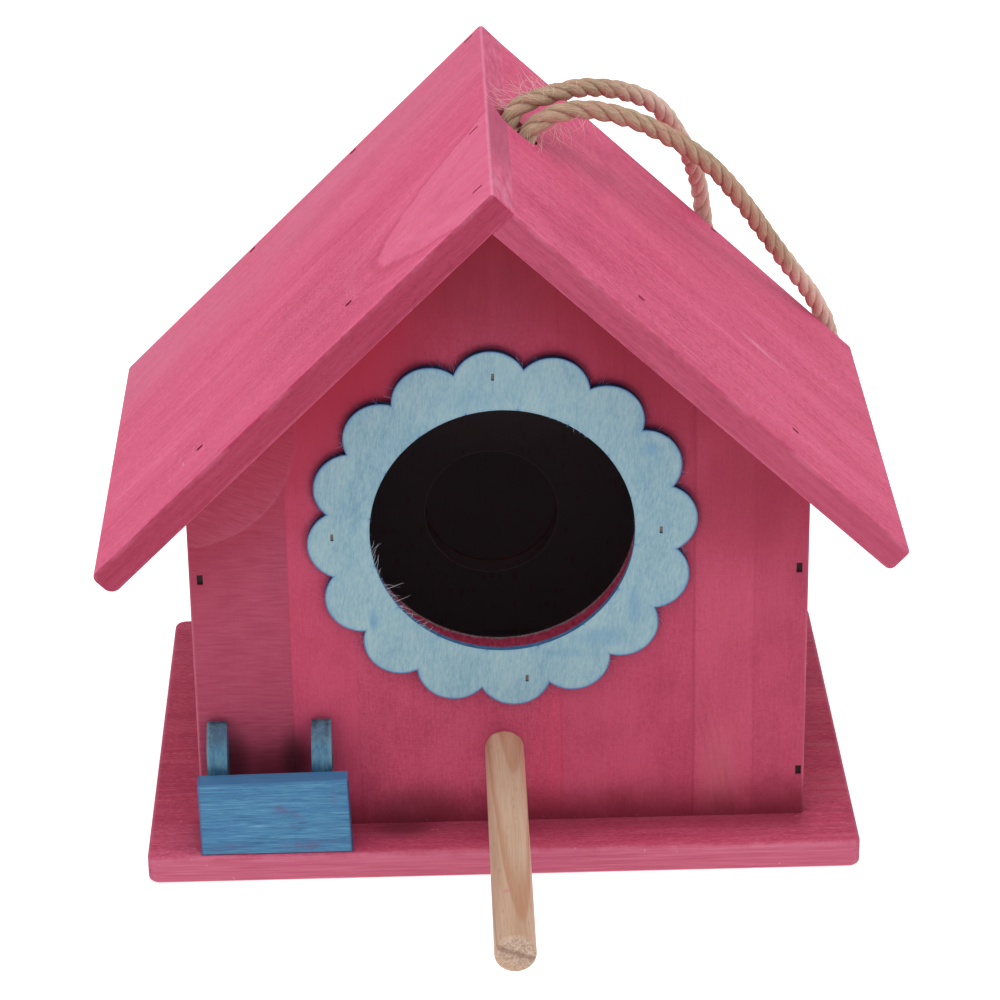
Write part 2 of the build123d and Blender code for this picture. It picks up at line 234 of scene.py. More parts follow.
def hairs(name, roots, directions, lengths, radii, seed, curl=0.5, droop=0.0, segments=6, sides=3, tint=None):
    """Loose fibres: thin tapered tubes that start at roots and bend as they go."""
    rng = np.random.default_rng(seed)
    verts, faces, shade = [], [], []
    for k, (root, d, length, radius) in enumerate(zip(roots, directions, lengths, radii)):
        d = unit(np.asarray(d, float))
        side = unit(np.cross(d, rng.normal(0, 1, 3)))
        bend = rng.normal(0, curl) / segments
        other = unit(np.cross(d, side))
        bend2 = rng.normal(0, curl * 0.7) / segments
        p = np.asarray(root, float)
        line = [p]
        for i in range(segments):
            d = unit(d + side * bend + other * bend2 * math.cos(i * 1.3) + np.array([0, 0, -droop / segments]))
            p = p + d * length / segments
            line.append(p)
        line = np.array(line)
        t, n, b = frames(line)
        start = len(verts)
        value = float(tint[k]) if tint is not None else float(rng.random())
        for i in range(segments + 1):
            r = radius * (1 - 0.75 * (i / segments) ** 1.5)
            for j in range(sides):
                a = 2 * math.pi * j / sides
                verts.append(line[i] + (n[i] * math.cos(a) + b[i] * math.sin(a)) * r)
                shade.append(value)
        for i in range(segments):
            for j in range(sides):
                j2 = (j + 1) % sides
                o = start + i * sides
                faces.append([o + j, o + j2, o + sides + j2, o + sides + j])
        faces.append([start + j for j in range(sides)][::-1])
        faces.append([start + segments * sides + j for j in range(sides)])
    return mesh_object(name, verts, faces, {"tint": np.array(shade)})


def rope_fuzz():
    rng = np.random.default_rng(21)
    t, n, b = frames(rope_p)
    total = rope_s[-1]
    roots, dirs, lens, rads, tint = [], [], [], [], []

    def add(s, angle, length, lean, radius, shade, extra=(0, 0, 0)):
        i = int(np.clip(np.searchsorted(rope_s, s), 1, len(rope_s) - 2))
        out = n[i] * math.cos(angle) + b[i] * math.sin(angle)
        roots.append(rope_p[i] + out * ROPE_D * 0.40)
        dirs.append(out * (1 - abs(lean) * 0.6) + t[i] * lean + np.array(extra))
        lens.append(length)
        rads.append(radius)
        tint.append(shade)

    for _ in range(3600):                      # the short nap all over
        add(rng.uniform(0.018, total - 0.018), rng.uniform(0, 2 * math.pi), rng.uniform(0.0006, 0.0015),
            rng.choice([-1, 1]) * rng.uniform(0.7, 1.5), rng.uniform(0.000022, 0.000036), rng.uniform(0.25, 0.75))
    for _ in range(260):                       # single loose fibres
        add(rng.uniform(0.018, total - 0.018), rng.uniform(0, 2 * math.pi), rng.uniform(0.0014, 0.0032),
            rng.choice([-1, 1]) * rng.uniform(0.6, 1.6), rng.uniform(0.000020, 0.000032), rng.uniform(0.4, 1.0))
    return roots, dirs, lens, rads, tint


_r = rope_fuzz()
fuzz = hairs("rope_fuzz", _r[0], _r[1], _r[2], _r[3], seed=5, curl=0.9, tint=_r[4])
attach(fuzz, "house")


def long_fibres():
    """Long pale fibres where the rope has been pulled through its hole, and a few between the strands."""
    rng = np.random.default_rng(8)
    roots, dirs, lens, tint = [], [], [], []

    def spray(centre, spread, direction, fan, count, low, high, shade):
        for _ in range(count):
            roots.append(np.array(centre) * MM + rng.normal(0, 1, 3) * np.array(spread) * MM)
            dirs.append(unit(np.array(direction, float)) + rng.normal(0, fan, 3))
            lens.append(rng.uniform(low, high) * MM)
            tint.append(shade + rng.uniform(-0.15, 0.15))

    spray((7.5, 5.6, 148.0), (2.6, 1.0, 0.5), (-0.85, 0.1, 0.75), 0.40, 34, 3.5, 8.0, 0.95)
    spray((3.6, 3.8, 146.2), (0.8, 1.0, 0.4), (-1.0, -0.2, 0.35), 0.30, 14, 3.0, 8.0, 0.95)
    spray((12.5, 8.4, 148.6), (2.5, 1.5, 0.4), (-0.3, 0.5, 1.0), 0.45, 14, 3.0, 6.0, 0.85)
    spray((14.0, 3.6, 143.0), (3.5, 0.8, 0.8), (0.55, -0.6, -0.75), 0.40, 20, 3.0, 6.5, 0.8)
    spray((9.5, 1.4, 141.6), (1.5, 0.6, 0.6), (0.3, -0.7, -0.6), 0.35, 16, 3.0, 8.0, 0.85)
    spray((6.4, 1.4, 142.2), (1.2, 0.5, 0.6), (-0.4, -0.7, -0.2), 0.5, 12, 1.2, 3.0, 0.75)
    spray((24.0, 14.2, 143.6), (5.5, 2.5, 0.8), (0.5, 0.3, 0.1), 0.6, 14, 2.0, 5.0, 0.95)
    spray((38.0, 27.0, 136.0), (5.0, 4.0, 3.0), (0.6, 0.5, -0.5), 0.5, 12, 2.5, 5.0, 0.9)
    spray((58.3, 36.7, 105.0), (0.3, 0.3, 0.4), (-0.8, -0.1, -0.3), 0.30, 7, 0.8, 1.5, 0.1)
    return roots, dirs, lens, tint


_r = long_fibres()
tufts = hairs("rope_loose_fibres", _r[0], _r[1], _r[2], [0.000034] * len(_r[0]), seed=6, curl=1.1, segments=9,
              tint=_r[3])
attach(tufts, "house")


def knot_line(centre, size, count=360):
    t = np.linspace(0, 2 * math.pi, count, endpoint=False)
    x = (np.sin(t) + 2 * np.sin(2 * t)) / 3
    y = (np.cos(t) - 2 * np.cos(2 * t)) / 3
    z = -np.sin(3 * t)
    p = np.stack([x * size, y * size, z * size * 0.55], 1) + np.array(centre)
    return np.concatenate([p, p[:1]])


low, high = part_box("rope_knot")
middle = (np.array(low) + np.array(high)) / 2
verts, faces, extra, _, _ = laid_rope(knot_line(middle, 0.0036), 0.00185, 0.0100, seed=9, step=0.0004, sides=12)
knot = mesh_object("rope_stopper_knot", verts, faces, extra)
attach(knot, "house")
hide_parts("rope_knot")


# --------------------------------------------------------------- materials
def C(r, g, b, k=1.0):
    """A linear colour from an 8-bit one, times k."""
    k = k if isinstance(k, tuple) else (k, k, k)
    out = []
    for v, gain in zip((r, g, b), k):
        v /= 255
        out.append((v / 12.92 if v <= 0.04045 else ((v + 0.055) / 1.055) ** 2.4) * gain)
    return (*out, 1.0)


class Mat:
    """A material's node graph, written as expressions. Lengths are in millimetres of the shared frame."""

    def __init__(self, name, specular=0.35, metallic=0.0):
        self.mat = bpy.data.materials.new(name)
        self.mat.use_nodes = True
        self.nt = self.mat.node_tree
        self.nt.nodes.clear()
        self.out = self.nt.nodes.new("ShaderNodeOutputMaterial")
        self.bsdf = self.nt.nodes.new("ShaderNodeBsdfPrincipled")
        self.nt.links.new(self.bsdf.outputs[0], self.out.inputs[0])
        self.bsdf.inputs["Specular IOR Level"].default_value = specular
        self.bsdf.inputs["Metallic"].default_value = metallic
        tc = self.nt.nodes.new("ShaderNodeTexCoord")
        self.N = tc.outputs["Normal"]
        self.P = self.scale(tc.outputs["Object"], 1000.0)
        self.x, self.y, self.z = self.split(self.P)

    def put(self, socket, value):
        if isinstance(value, bpy.types.NodeSocket):
            self.nt.links.new(value, socket)
        elif value is not None:
            socket.default_value = value

    def scale(self, v, k):
        n = self.nt.nodes.new("ShaderNodeVectorMath")
        n.operation = "SCALE"
        self.put(n.inputs[0], v)
        self.put(n.inputs["Scale"], k)
        return n.outputs[0]

    def vec(self, op, a, b):
        n = self.nt.nodes.new("ShaderNodeVectorMath")
        n.operation = op
        self.put(n.inputs[0], a)
        self.put(n.inputs[1], b)
        return n.outputs["Value"] if op in ("DOT_PRODUCT", "DISTANCE") else n.outputs[0]

    def split(self, v):
        n = self.nt.nodes.new("ShaderNodeSeparateXYZ")
        self.put(n.inputs[0], v)
        return n.outputs[0], n.outputs[1], n.outputs[2]

    def join(self, x, y, z):
        n = self.nt.nodes.new("ShaderNodeCombineXYZ")
        for s, v in zip(n.inputs, (x, y, z)):
            self.put(s, v)
        return n.outputs[0]

    def m(self, op, a, b=None, c=None, clamp=False):
        n = self.nt.nodes.new("ShaderNodeMath")
        n.operation = op
        n.use_clamp = clamp
        for s, v in zip(n.inputs, (a, b, c)):
            self.put(s, v)
        return n.outputs[0]

    def add(self, a, b):
        return self.m("ADD", a, b)

    def sub(self, a, b):
        return self.m("SUBTRACT", a, b)

    def mul(self, a, b):
        return self.m("MULTIPLY", a, b)

    def axes(self, origin, a, b, c):
        """Position along three directions from an origin, as a vector."""
        q = self.vec("SUBTRACT", self.P, origin)
        return self.join(self.vec("DOT_PRODUCT", q, a), self.vec("DOT_PRODUCT", q, b), self.vec("DOT_PRODUCT", q, c))

    def noise(self, v, stretch=(1, 1, 1), detail=3.0, rough=0.55, seed=0.0, twist=0.0, scale=1.0):
        n = self.nt.nodes.new("ShaderNodeTexNoise")
        q = self.vec("MULTIPLY", v, tuple(stretch))
        if seed:
            q = self.vec("ADD", q, (seed * 13.7, seed * 7.1, seed * 3.3))
        self.put(n.inputs["Vector"], q)
        n.inputs["Scale"].default_value = scale
        n.inputs["Detail"].default_value = detail
        n.inputs["Roughness"].default_value = rough
        n.inputs["Distortion"].default_value = twist
        return n.outputs["Fac"]

    def cells(self, v, stretch=(1, 1, 1), feature="F1", random=1.0, seed=0.0):
        n = self.nt.nodes.new("ShaderNodeTexVoronoi")
        n.feature = feature
        q = self.vec("MULTIPLY", v, tuple(stretch))
        if seed:
            q = self.vec("ADD", q, (seed * 11.3, seed * 5.9, seed * 2.7))
        self.put(n.inputs["Vector"], q)
        n.inputs["Scale"].default_value = 1.0
        n.inputs["Randomness"].default_value = random
        return n.outputs["Distance"], n.outputs["Color"]

    def ease(self, v, a, b, lo=0.0, hi=1.0, kind="SMOOTHSTEP"):
        """lo where v is a, hi where v is b, held outside them."""
        n = self.nt.nodes.new("ShaderNodeMapRange")
        n.interpolation_type = kind
        n.clamp = True
        if a > b:
            a, b, lo, hi = b, a, hi, lo
        for s, w in zip(n.inputs, (v, a, b, lo, hi)):
            self.put(s, w)
        return n.outputs[0]

    def band(self, v, centre, half, soft):
        """1 within half of centre, falling to 0 over soft."""
        return self.ease(self.m("ABSOLUTE", self.sub(v, centre)), half + soft, half)

    def mix(self, f, a, b, mode="MIX"):
        n = self.nt.nodes.new("ShaderNodeMix")
        n.data_type = "RGBA"
        n.blend_type = mode
        n.clamp_factor = True
        self.put(n.inputs[0], f)
        self.put(n.inputs[6], a)
        self.put(n.inputs[7], b)
        return n.outputs[2]

    def ramp(self, f, stops):
        n = self.nt.nodes.new("ShaderNodeValToRGB")
        self.put(n.inputs[0], f)
        e = n.color_ramp.elements
        while len(e) < len(stops):
            e.new(0.5)
        for k, (at, colour) in enumerate(stops):
            e[k].position, e[k].color = at, colour
        return n.outputs[0]

    def grey(self, f):
        n = self.nt.nodes.new("ShaderNodeCombineColor")
        for s in n.inputs[:3]:
            self.put(s, f)
        return n.outputs[0]

    def spot(self, a, b, c, p, q, r=0.0, size=(1, 1, 1)):
        """Distance from a point in given coordinates, in units of size."""
        d = self.join(self.mul(self.sub(a, p), 1 / size[0]), self.mul(self.sub(b, q), 1 / size[1]),
                      self.mul(self.sub(c, r), 1 / size[2]) if c is not None else 0.0)
        n = self.nt.nodes.new("ShaderNodeVectorMath")
        n.operation = "LENGTH"
        self.put(n.inputs[0], d)
        return n.outputs["Value"]

    def attribute(self, name, kind="Fac"):
        n = self.nt.nodes.new("ShaderNodeAttribute")
        n.attribute_name = name
        return n.outputs[kind]

    def finish(self, colour, rough=0.6, height=None, depth=0.00012, strength=1.0):
        self.put(self.bsdf.inputs["Base Color"], colour)
        self.put(self.bsdf.inputs["Roughness"], rough)
        if height is not None:
            n = self.nt.nodes.new("ShaderNodeBump")
            n.inputs["Strength"].default_value = strength
            n.inputs["Distance"].default_value = depth
            self.put(n.inputs["Height"], height)
            self.nt.links.new(n.outputs[0], self.bsdf.inputs["Normal"])
        return self.mat


def dress(node, material):
    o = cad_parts[node]
    o.data.materials.clear()
    o.data.materials.append(material)


# section numbers of the two roof boards, as in the CAD
aL, aR = math.radians(44.4), math.radians(43.2)
dL, dR = (-math.cos(aL), 0, -math.sin(aL)), (math.cos(aR), 0, -math.sin(aR))
nL, nR = (-math.sin(aL), 0, math.cos(aL)), (math.sin(aR), 0, math.cos(aR))
RIDGE_P, JOINT_Q = (-0.51, 0, 148.89), (3.69, 0, 144.60)
FRONT, BACK = -41.75, 51.35
INSIDE = C(124, 107, 112)
K = 1.0                     # overall level of the paint colours


def wood(g, q, dark, mid, light, fine=0.42, length=16.0, contrast=1.0, seed=0.0):
    """Stained wood: q is the place with the grain along its first axis. Gives colour, height and the two grains."""
    thin = g.noise(q, (1 / length, 1 / fine, 1 / fine), 3.0, 0.6, seed + 1)
    fine2 = g.noise(q, (1 / (length * 2.6), 1 / (fine * 3.4), 1 / (fine * 3.4)), 3.0, 0.55, seed + 2, 0.4)
    broad = g.noise(q, (1 / (length * 4.5), 1 / 11.0, 1 / 11.0), 2.0, 0.5, seed + 3, 0.3)
    t = g.add(g.mul(g.sub(thin, 0.5), 0.75 * contrast), g.mul(g.sub(fine2, 0.5), 0.8 * contrast))
    t = g.add(g.add(t, g.mul(g.sub(broad, 0.5), 1.0 * contrast)), 0.5)
    mottle = g.noise(q, (1 / 1.1, 1 / 0.42, 1 / 0.42), 3.0, 0.75, seed + 8)
    t = g.add(t, g.mul(g.sub(mottle, 0.5), 1.15))
    colour = g.ramp(t, [(0.12, dark), (0.5, mid), (0.88, light)])
    return colour, thin, fine2, broad, t


def pores(g, q, long=1.1, wide=0.24, density=0.5, seed=0.0, where=None):
    """Short dark vessels along the grain."""
    d, c = g.cells(q, (1 / (long * 2.4), 1 / (wide * 3.6), 1 / (wide * 3.6)), seed=seed)
    keep = g.ease(g.split(c)[0], 1 - density, 1 - density + 0.05)
    out = g.mul(g.ease(d, 0.34, 0.16), keep)
    if where is not None:
        out = g.mul(out, where)
    return out


def speckle(g, q, size=0.55, seed=0.0, sharp=(0.60, 0.68)):
    return g.ease(g.noise(q, (1 / size,) * 3, 2.0, 0.6, seed), *sharp)


# roof boards --------------------------------------------------------------
def roof_board(name, left):
    g = Mat(name, specular=0.30)
    if left:
        q = g.axes(RIDGE_P, dL, (0, 1, 0), nL)
        end = 112.9
    else:
        q = g.axes(JOINT_Q, dR, (0, 1, 0), nR)
        end = 106.9
    s, y, n = g.split(q)
    wob = g.noise(q, (0.03, 0.09, 0.09), 2.0, 0.5, 4)
    qb = g.join(s, g.add(y, g.mul(g.sub(wob, 0.5), 7.0)), n)      # the grain wanders
    if left:
        colour, thin, fine2, broad, t = wood(g, qb, C(196, 62, 106, K), C(216, 88, 128, K), C(228, 116, 152, K),
                                             contrast=0.62, fine=0.40, length=14, seed=1)
    else:
        colour, thin, fine2, broad, t = wood(g, qb, C(186, 56, 98, K), C(210, 86, 124, K), C(222, 110, 144, K),
                                             contrast=0.72, fine=0.30, length=9, seed=2)
    height = g.mul(thin, 0.6)
    if left:
        # cathedral figure near the front of the ridge, with its pores in front of it
        ty = g.sub(y, -31.0)
        tongue = g.sub(g.sub(30.5, g.mul(g.mul(ty, ty), 0.045)), s)
        tongue = g.add(tongue, g.mul(g.sub(g.noise(q, (0.12, 0.25, 0.2), 2, 0.5, 5), 0.5), 7.0))
        inside = g.ease(tongue, -0.4, 0.9)
        colour = g.mix(g.mul(inside, 0.42), colour, C(228, 122, 156, K))
        rim = g.band(tongue, -1.4, 0.6, 1.6)
        colour = g.mix(g.mul(rim, 0.42), colour, C(190, 58, 100, K))
        for k, (off, w) in enumerate(((7.5, 0.22), (16.0, 0.16), (-9.5, 0.20), (-19.0, 0.14))):
            line = g.band(g.add(tongue, -off), 0.0, 0.3, 2.2)
            colour = g.mix(g.mul(line, w), colour, C(190, 66, 108, K) if k % 2 else C(232, 130, 162, K))
        where = g.ease(g.add(g.spot(s, y, None, 46.0, -26.0, size=(24, 30, 1)), g.mul(g.sub(g.noise(q, (0.06, 0.1, 0.1), 3, 0.6, 45), 0.5), 1.2)), 1.25, 0.35)
        where = g.mul(where, g.ease(tongue, 1.5, -1.0))
        spots = g.mul(speckle(g, g.vec("MULTIPLY", qb, (0.6, 1.0, 1.0)), 0.34, 43, (0.555, 0.64)), where)
        colour = g.mix(g.mul(spots, 0.70), colour, C(166, 30, 72, K))
        few = speckle(g, g.vec("MULTIPLY", qb, (0.35, 1.0, 1.0)), 0.36, 46, (0.60, 0.68))
        colour = g.mix(g.mul(few, 0.34), colour, C(176, 44, 86, K))
        height = g.sub(height, g.mul(g.add(spots, few), 0.8))
        # long wispy light streaks towards the eave
        wisp = g.ease(g.noise(qb, (0.016, 0.36, 0.3), 4, 0.65, 9, 0.3), 0.55, 0.75)
        colour = g.mix(g.mul(wisp, 0.26), colour, C(231, 128, 160, K))
        wisp2 = g.ease(g.noise(qb, (0.020, 0.62, 0.5), 4, 0.65, 12, 0.3), 0.56, 0.72)
        colour = g.mix(g.mul(wisp2, 0.24), colour, C(190, 60, 102, K))
        # a dent and its pale scratches near the lower front
        scar = g.mul(g.ease(g.spot(s, y, None, 88.5, -36.0, size=(9.0, 9.0, 1)), 1.0, 0.4),
                     g.ease(g.noise(q, (1.4, 0.5, 1), 3, 0.7, 15, 1.0), 0.60, 0.68))
        colour = g.mix(g.mul(scar, 0.55), colour, C(240, 180, 196, K))
        height = g.sub(height, g.mul(scar, 0.9))
    else:
        ripple = g.ease(g.noise(qb, (0.045, 1.7, 1.3), 3, 0.6, 21), 0.54, 0.66)
        patchy = g.ease(g.noise(q, (0.02, 0.045, 0.05), 2, 0.5, 23), 0.36, 0.58)
        colour = g.mix(g.mul(g.mul(ripple, patchy), 0.40), colour, C(174, 50, 92, K))
        light = g.ease(g.noise(qb, (0.020, 0.8, 0.7), 3, 0.6, 25), 0.58, 0.72)
        colour = g.mix(g.mul(light, 0.30), colour, C(228, 124, 154, K))
        spots = pores(g, qb, 1.2, 0.20, 0.60, 7)
        colour = g.mix(g.mul(spots, 0.45), colour, C(156, 34, 74, K))
        grain = speckle(g, g.vec("MULTIPLY", qb, (0.45, 1.0, 1.0)), 0.36, 44, (0.56, 0.66))
        colour = g.mix(g.mul(grain, 0.48), colour, C(168, 40, 80, K))
        front = g.ease(g.spot(s, y, None, 30.0, -40.0, size=(52, 26, 1)), 1.1, 0.3)
        deep = g.mul(g.ease(g.noise(qb, (1 / 3.2, 1 / 0.26, 1 / 0.26), 3, 0.65, 47), 0.585, 0.64), front)
        colour = g.mix(g.mul(deep, 0.72), colour, C(146, 28, 66, K))
        height = g.sub(height, g.mul(g.add(spots, deep), 0.9))
        # wavy darker band that crosses the board behind the rope hole, and a pale rubbed place
        wave = g.sub(s, g.add(24.0, g.add(g.mul(y, 0.22), g.mul(g.sub(g.noise(q, (0.05, 0.2, 0.1), 2, 0.5, 27), 0.5), 16.0))))
        colour = g.mix(g.mul(g.band(wave, 0.0, 0.6, 3.2), 0.22), colour, C(176, 52, 98, K))
        rub = g.mul(g.ease(g.spot(s, y, None, 72.0, -6.0, size=(9.5, 2.2, 1)), 1.0, 0.2),
                    g.ease(g.noise(qb, (0.1, 1.1, 1), 3, 0.6, 29), 0.40, 0.60))
        colour = g.mix(g.mul(rub, 0.55), colour, C(222, 150, 172, K))
    if left:
        # the stain is thin and greyer along the back of this board
        veil = g.mul(g.ease(y, 4.0, 38.0), g.ease(g.noise(q, (0.04, 0.06, 0.06), 3, 0.6, 48), 0.25, 0.60, 0.4, 1.0))
        colour = g.mix(g.mul(veil, 0.30), colour, C(206, 136, 158, K))
    # cut faces: the long edges are smooth and duller, the ends are end grain
    nx, ny, nz = g.split(g.N)
    edge = g.ease(g.m("ABSOLUTE", ny), 0.55, 0.85)
    band = g.noise(q, (0.035, 1, 0.9), 3, 0.55, 31)
    grit_edge = g.noise(q, (1 / 1.6, 1, 1 / 0.5), 3, 0.7, 32)
    band = g.add(g.mul(band, 0.6), g.mul(grit_edge, 0.4))
    edge_colour = g.ramp(band, [(0.25, C(158, 56, 84, K)), (0.5, C(173, 70, 98, K)), (0.8, C(184, 88, 116, K))])
    if left:
        edge_colour = g.ramp(band, [(0.25, C(143, 41, 69, K)), (0.5, C(161, 52, 82, K)), (0.8, C(172, 68, 100, K))])
    colour = g.mix(edge, colour, edge_colour)
    tip = g.ease(g.m("ABSOLUTE", g.vec("DOT_PRODUCT", g.N, dL if left else dR)), 0.55, 0.85)
    ends = g.noise(q, (0.9, 0.16, 0.9), 3, 0.6, 33)
    end_colour = g.ramp(ends, [(0.25, C(184, 70, 110, K)), (0.5, C(207, 94, 129, K)), (0.78, C(218, 120, 151, K))])
    if left:
        # the square end beside the ridge: greyer, darker half way, rubbed pale at the front
        dull = g.mul(g.band(y, -14.0, 9.0, 14.0), 0.65)
        end_colour = g.mix(dull, end_colour, C(174, 84, 114, K))
        smear = g.mul(g.ease(y, -24.0, -44.0), g.ease(g.noise(q, (0.8, 0.22, 0.35), 3, 0.6, 35, 0.8), 0.45, 0.62))
        end_colour = g.mix(g.mul(smear, 0.32), end_colour, C(212, 150, 176, K))
        smear = g.mul(g.ease(y, 30.0, 44.0), g.ease(g.noise(q, (0.8, 0.2, 0.35), 3, 0.6, 36, 0.8), 0.48, 0.62))
        end_colour = g.mix(g.mul(smear, 0.3), end_colour, C(216, 146, 172, K))
    colour = g.mix(tip, colour, end_colour)
    # worn arrises, with a painted highlight along the front arris
    rub = g.noise(q, (0.10, 0.16, 0.16), 3, 0.65, 37)
    grit = g.noise(q, (0.9, 0.9, 0.9), 3, 0.65, 38)
    front_arris = g.m("SQRT", g.add(g.mul(g.add(y, 53.0), g.add(y, 53.0)), g.mul(n, n)))
    # painted highlight: a pale line along the front arris, broken up by noise
    wear = g.mul(g.ease(front_arris, 1.3, 0.35), g.ease(rub, 0.36, 0.62))
    colour = g.mix(g.mul(wear, 0.28), colour, C(220, 128, 156, K))
    low_arris = g.m("SQRT", g.add(g.mul(g.add(y, 53.0), g.add(y, 53.0)), g.mul(g.add(n, 6.0), g.add(n, 6.0))))
    wear = g.mul(g.ease(low_arris, 0.9, 0.35), g.ease(rub, 0.40, 0.66))
    colour = g.mix(g.mul(wear, 0.25), colour, C(206, 112, 140, K))
    far = g.m("SQRT", g.add(g.mul(g.sub(s, end), g.sub(s, end)), g.mul(n, n)))
    wear = g.mul(g.ease(far, 2.0, 0.8), g.ease(grit, 0.50, 0.66))
    colour = g.mix(g.mul(wear, 0.35), colour, C(228, 150, 172, K))
    if left:
        ridge = g.m("SQRT", g.add(g.mul(s, s), g.mul(n, n)))
        line = g.mul(g.ease(ridge, 0.70, 0.28), g.ease(grit, 0.15, 0.55, 0.35, 1.0))
        colour = g.mix(g.mul(line, 0.42), colour, C(236, 178, 200, K))
    # chips and crumbs on the arris
    chip = g.mul(g.ease(front_arris, 1.4, 0.6), g.ease(g.noise(q, (0.9, 1.2, 1.2), 2, 0.6, 41), 0.72, 0.78))
    colour = g.mix(g.mul(chip, 0.35), colour, C(232, 176, 192, K))
    # underside in the house
    under = g.ease(n, -5.3, -5.8)
    down = g.ease(g.vec("DOT_PRODUCT", g.N, nL if left else nR), -0.5, -0.85)
    room = g.mul(g.mul(g.ease(y, FRONT + 4.6, FRONT + 5.4), g.ease(y, BACK - 4.6, BACK - 5.4)), g.mul(under, down))
    room = g.mul(room, g.ease(g.m("ABSOLUTE", g.x), 57.5, 56.0))
    colour = g.mix(room, colour, INSIDE)
    rough = g.ease(thin, 0.3, 0.7, 0.60, 0.74)
    return g.finish(colour, rough, height, 0.00010)


K = (0.94, 0.80, 0.86)
dress("roof_left_board", roof_board("roof_left_stain", True))
K = (0.97, 0.88, 0.92)
dress("roof_right_board", roof_board("roof_right_stain", False))


# walls --------------------------------------------------------------------
def wall_wood(name, kind):
    g = Mat(name, specular=0.28)
    across = g.x if kind in ("front", "back") else g.y
    thick = g.y if kind in ("front", "back") else g.x
    q = g.join(g.z, across, thick)
    wob = g.noise(q, (0.02, 0.07, 0.07), 2.0, 0.5, 4 + len(kind))
    qb = g.join(g.z, g.add(across, g.mul(g.sub(wob, 0.5), 2.6)), thick)
    colour, thin, fine2, broad, t = wood(g, qb, C(160, 42, 76, K), C(182, 64, 96, K), C(196, 88, 116, K),
                                         contrast=0.40, fine=0.36, length=9, seed=5 + len(kind))
    weave = g.noise(q, (1 / 0.30, 1 / 1.3, 1 / 2.0), 3.0, 0.65, 51)
    warp = g.noise(q, (1 / 2.2, 1 / 0.28, 1 / 2.0), 3.0, 0.65, 68)
    weave = g.add(g.mul(weave, 0.55), g.mul(warp, 0.45))
    colour = g.mix(g.ease(weave, 0.40, 0.62, 0.0, 0.30, "LINEAR"), colour, C(200, 94, 122, K))
    colour = g.mix(g.ease(weave, 0.58, 0.36, 0.0, 0.22, "LINEAR"), colour, C(146, 34, 66, K))
    cloud = g.noise(q, (0.10, 0.14, 0.14), 4, 0.62, 67)
    colour = g.mix(g.ease(cloud, 0.48, 0.66, 0.0, 0.22), colour, C(200, 84, 114, K))
    colour = g.mix(g.ease(cloud, 0.50, 0.34, 0.0, 0.22), colour, C(152, 42, 74, K))
    height = g.add(g.mul(thin, 0.5), g.mul(weave, 0.35))
    if kind == "front":
        x, z = g.x, g.z
        edge = g.mul(g.sub(g.noise(q, (0.02, 0.001, 0.001), 1, 0.5, 52), 0.5), 1.6)
        xe = g.add(x, edge)
        # glued strips, each of its own tone
        first = g.ease(xe, -42.6, -42.9)
        ripple = g.noise(g.join(z, x, g.y), (1 / 0.55, 1 / 7.0, 1 / 3.0), 4.0, 0.65, 53, 0.3)
        dull = g.ramp(ripple, [(0.28, C(148, 52, 80, K)), (0.5, C(163, 67, 93, K)), (0.75, C(174, 82, 106, K))])
        dull = g.mix(g.ease(thin, 0.3, 0.7, 0, 0.16), dull, C(150, 56, 86, K))
        low_red = g.mul(g.ease(z, 66.0, 60.0), 0.10)
        dull = g.mix(low_red, dull, C(178, 62, 92, K))
        upper = g.mul(g.ease(z, 56.0, 66.0), g.ease(x, -58.0, -48.0))
        colour = g.mix(first, colour, dull)
        second = g.mul(g.ease(xe, -42.9, -42.6), g.ease(xe, -29.2, -29.6))
        colour = g.mix(g.mul(second, 0.30), colour, C(196, 72, 104, K))
        third = g.mul(g.ease(xe, 6.0, 8.0), g.ease(xe, 12.2, 11.9))
        streak = g.ease(g.noise(qb, (0.03, 1.5, 1), 3, 0.6, 54), 0.42, 0.62)
        colour = g.mix(g.mul(g.mul(third, streak), g.ease(z, 44, 30, 0.0, 0.55)), colour, C(202, 56, 92, K))
        fourth = g.mul(g.ease(xe, 11.9, 12.2), g.ease(xe, 39.4, 39.1))
        colour = g.mix(g.mul(fourth, 0.25), colour, C(172, 62, 92, K))
        fifth = g.mul(g.ease(xe, 39.1, 39.4), g.ease(xe, 51.6, 51.3))
        colour = g.mix(g.mul(fifth, 0.22), colour, C(198, 92, 118, K))
        last = g.ease(xe, 51.3, 51.6)
        colour = g.mix(g.mul(last, 0.28), colour, C(170, 66, 94, K))
        for at, w, strength in ((-42.7, 0.10, 0.12), (-29.4, 0.08, 0.10), (12.05, 0.08, 0.14), (39.3, 0.12, 0.34),
                                (51.4, 0.10, 0.12)):
            seam = g.band(xe, at, w, 0.30)
            colour = g.mix(g.mul(seam, strength), colour, C(136, 34, 62, K))
            height = g.sub(height, g.mul(seam, 0.25))
        # growth lines that swing away from the seam low on the right
        swing = g.sub(g.sub(x, 39.5), g.mul(g.ease(z, 34.0, 8.0, 0, 1, "LINEAR"), 5.0))
        for k in range(3):
            line = g.mul(g.band(g.add(swing, g.mul(g.sub(g.noise(q, (0.06, 0.02, 0.1), 2, 0.5, 55), 0.5), 3.0)),
                                1.6 * k, 0.10, 0.5), g.ease(z, 40.0, 30.0))
            colour = g.mix(g.mul(line, 0.24), colour, C(150, 60, 78, K))
        tan = g.mul(g.ease(g.spot(x, z, None, 45.0, 17.0, size=(6.0, 14.0, 1)), 1.0, 0.3), 0.30)
        colour = g.mix(tan, colour, C(192, 104, 116, K))
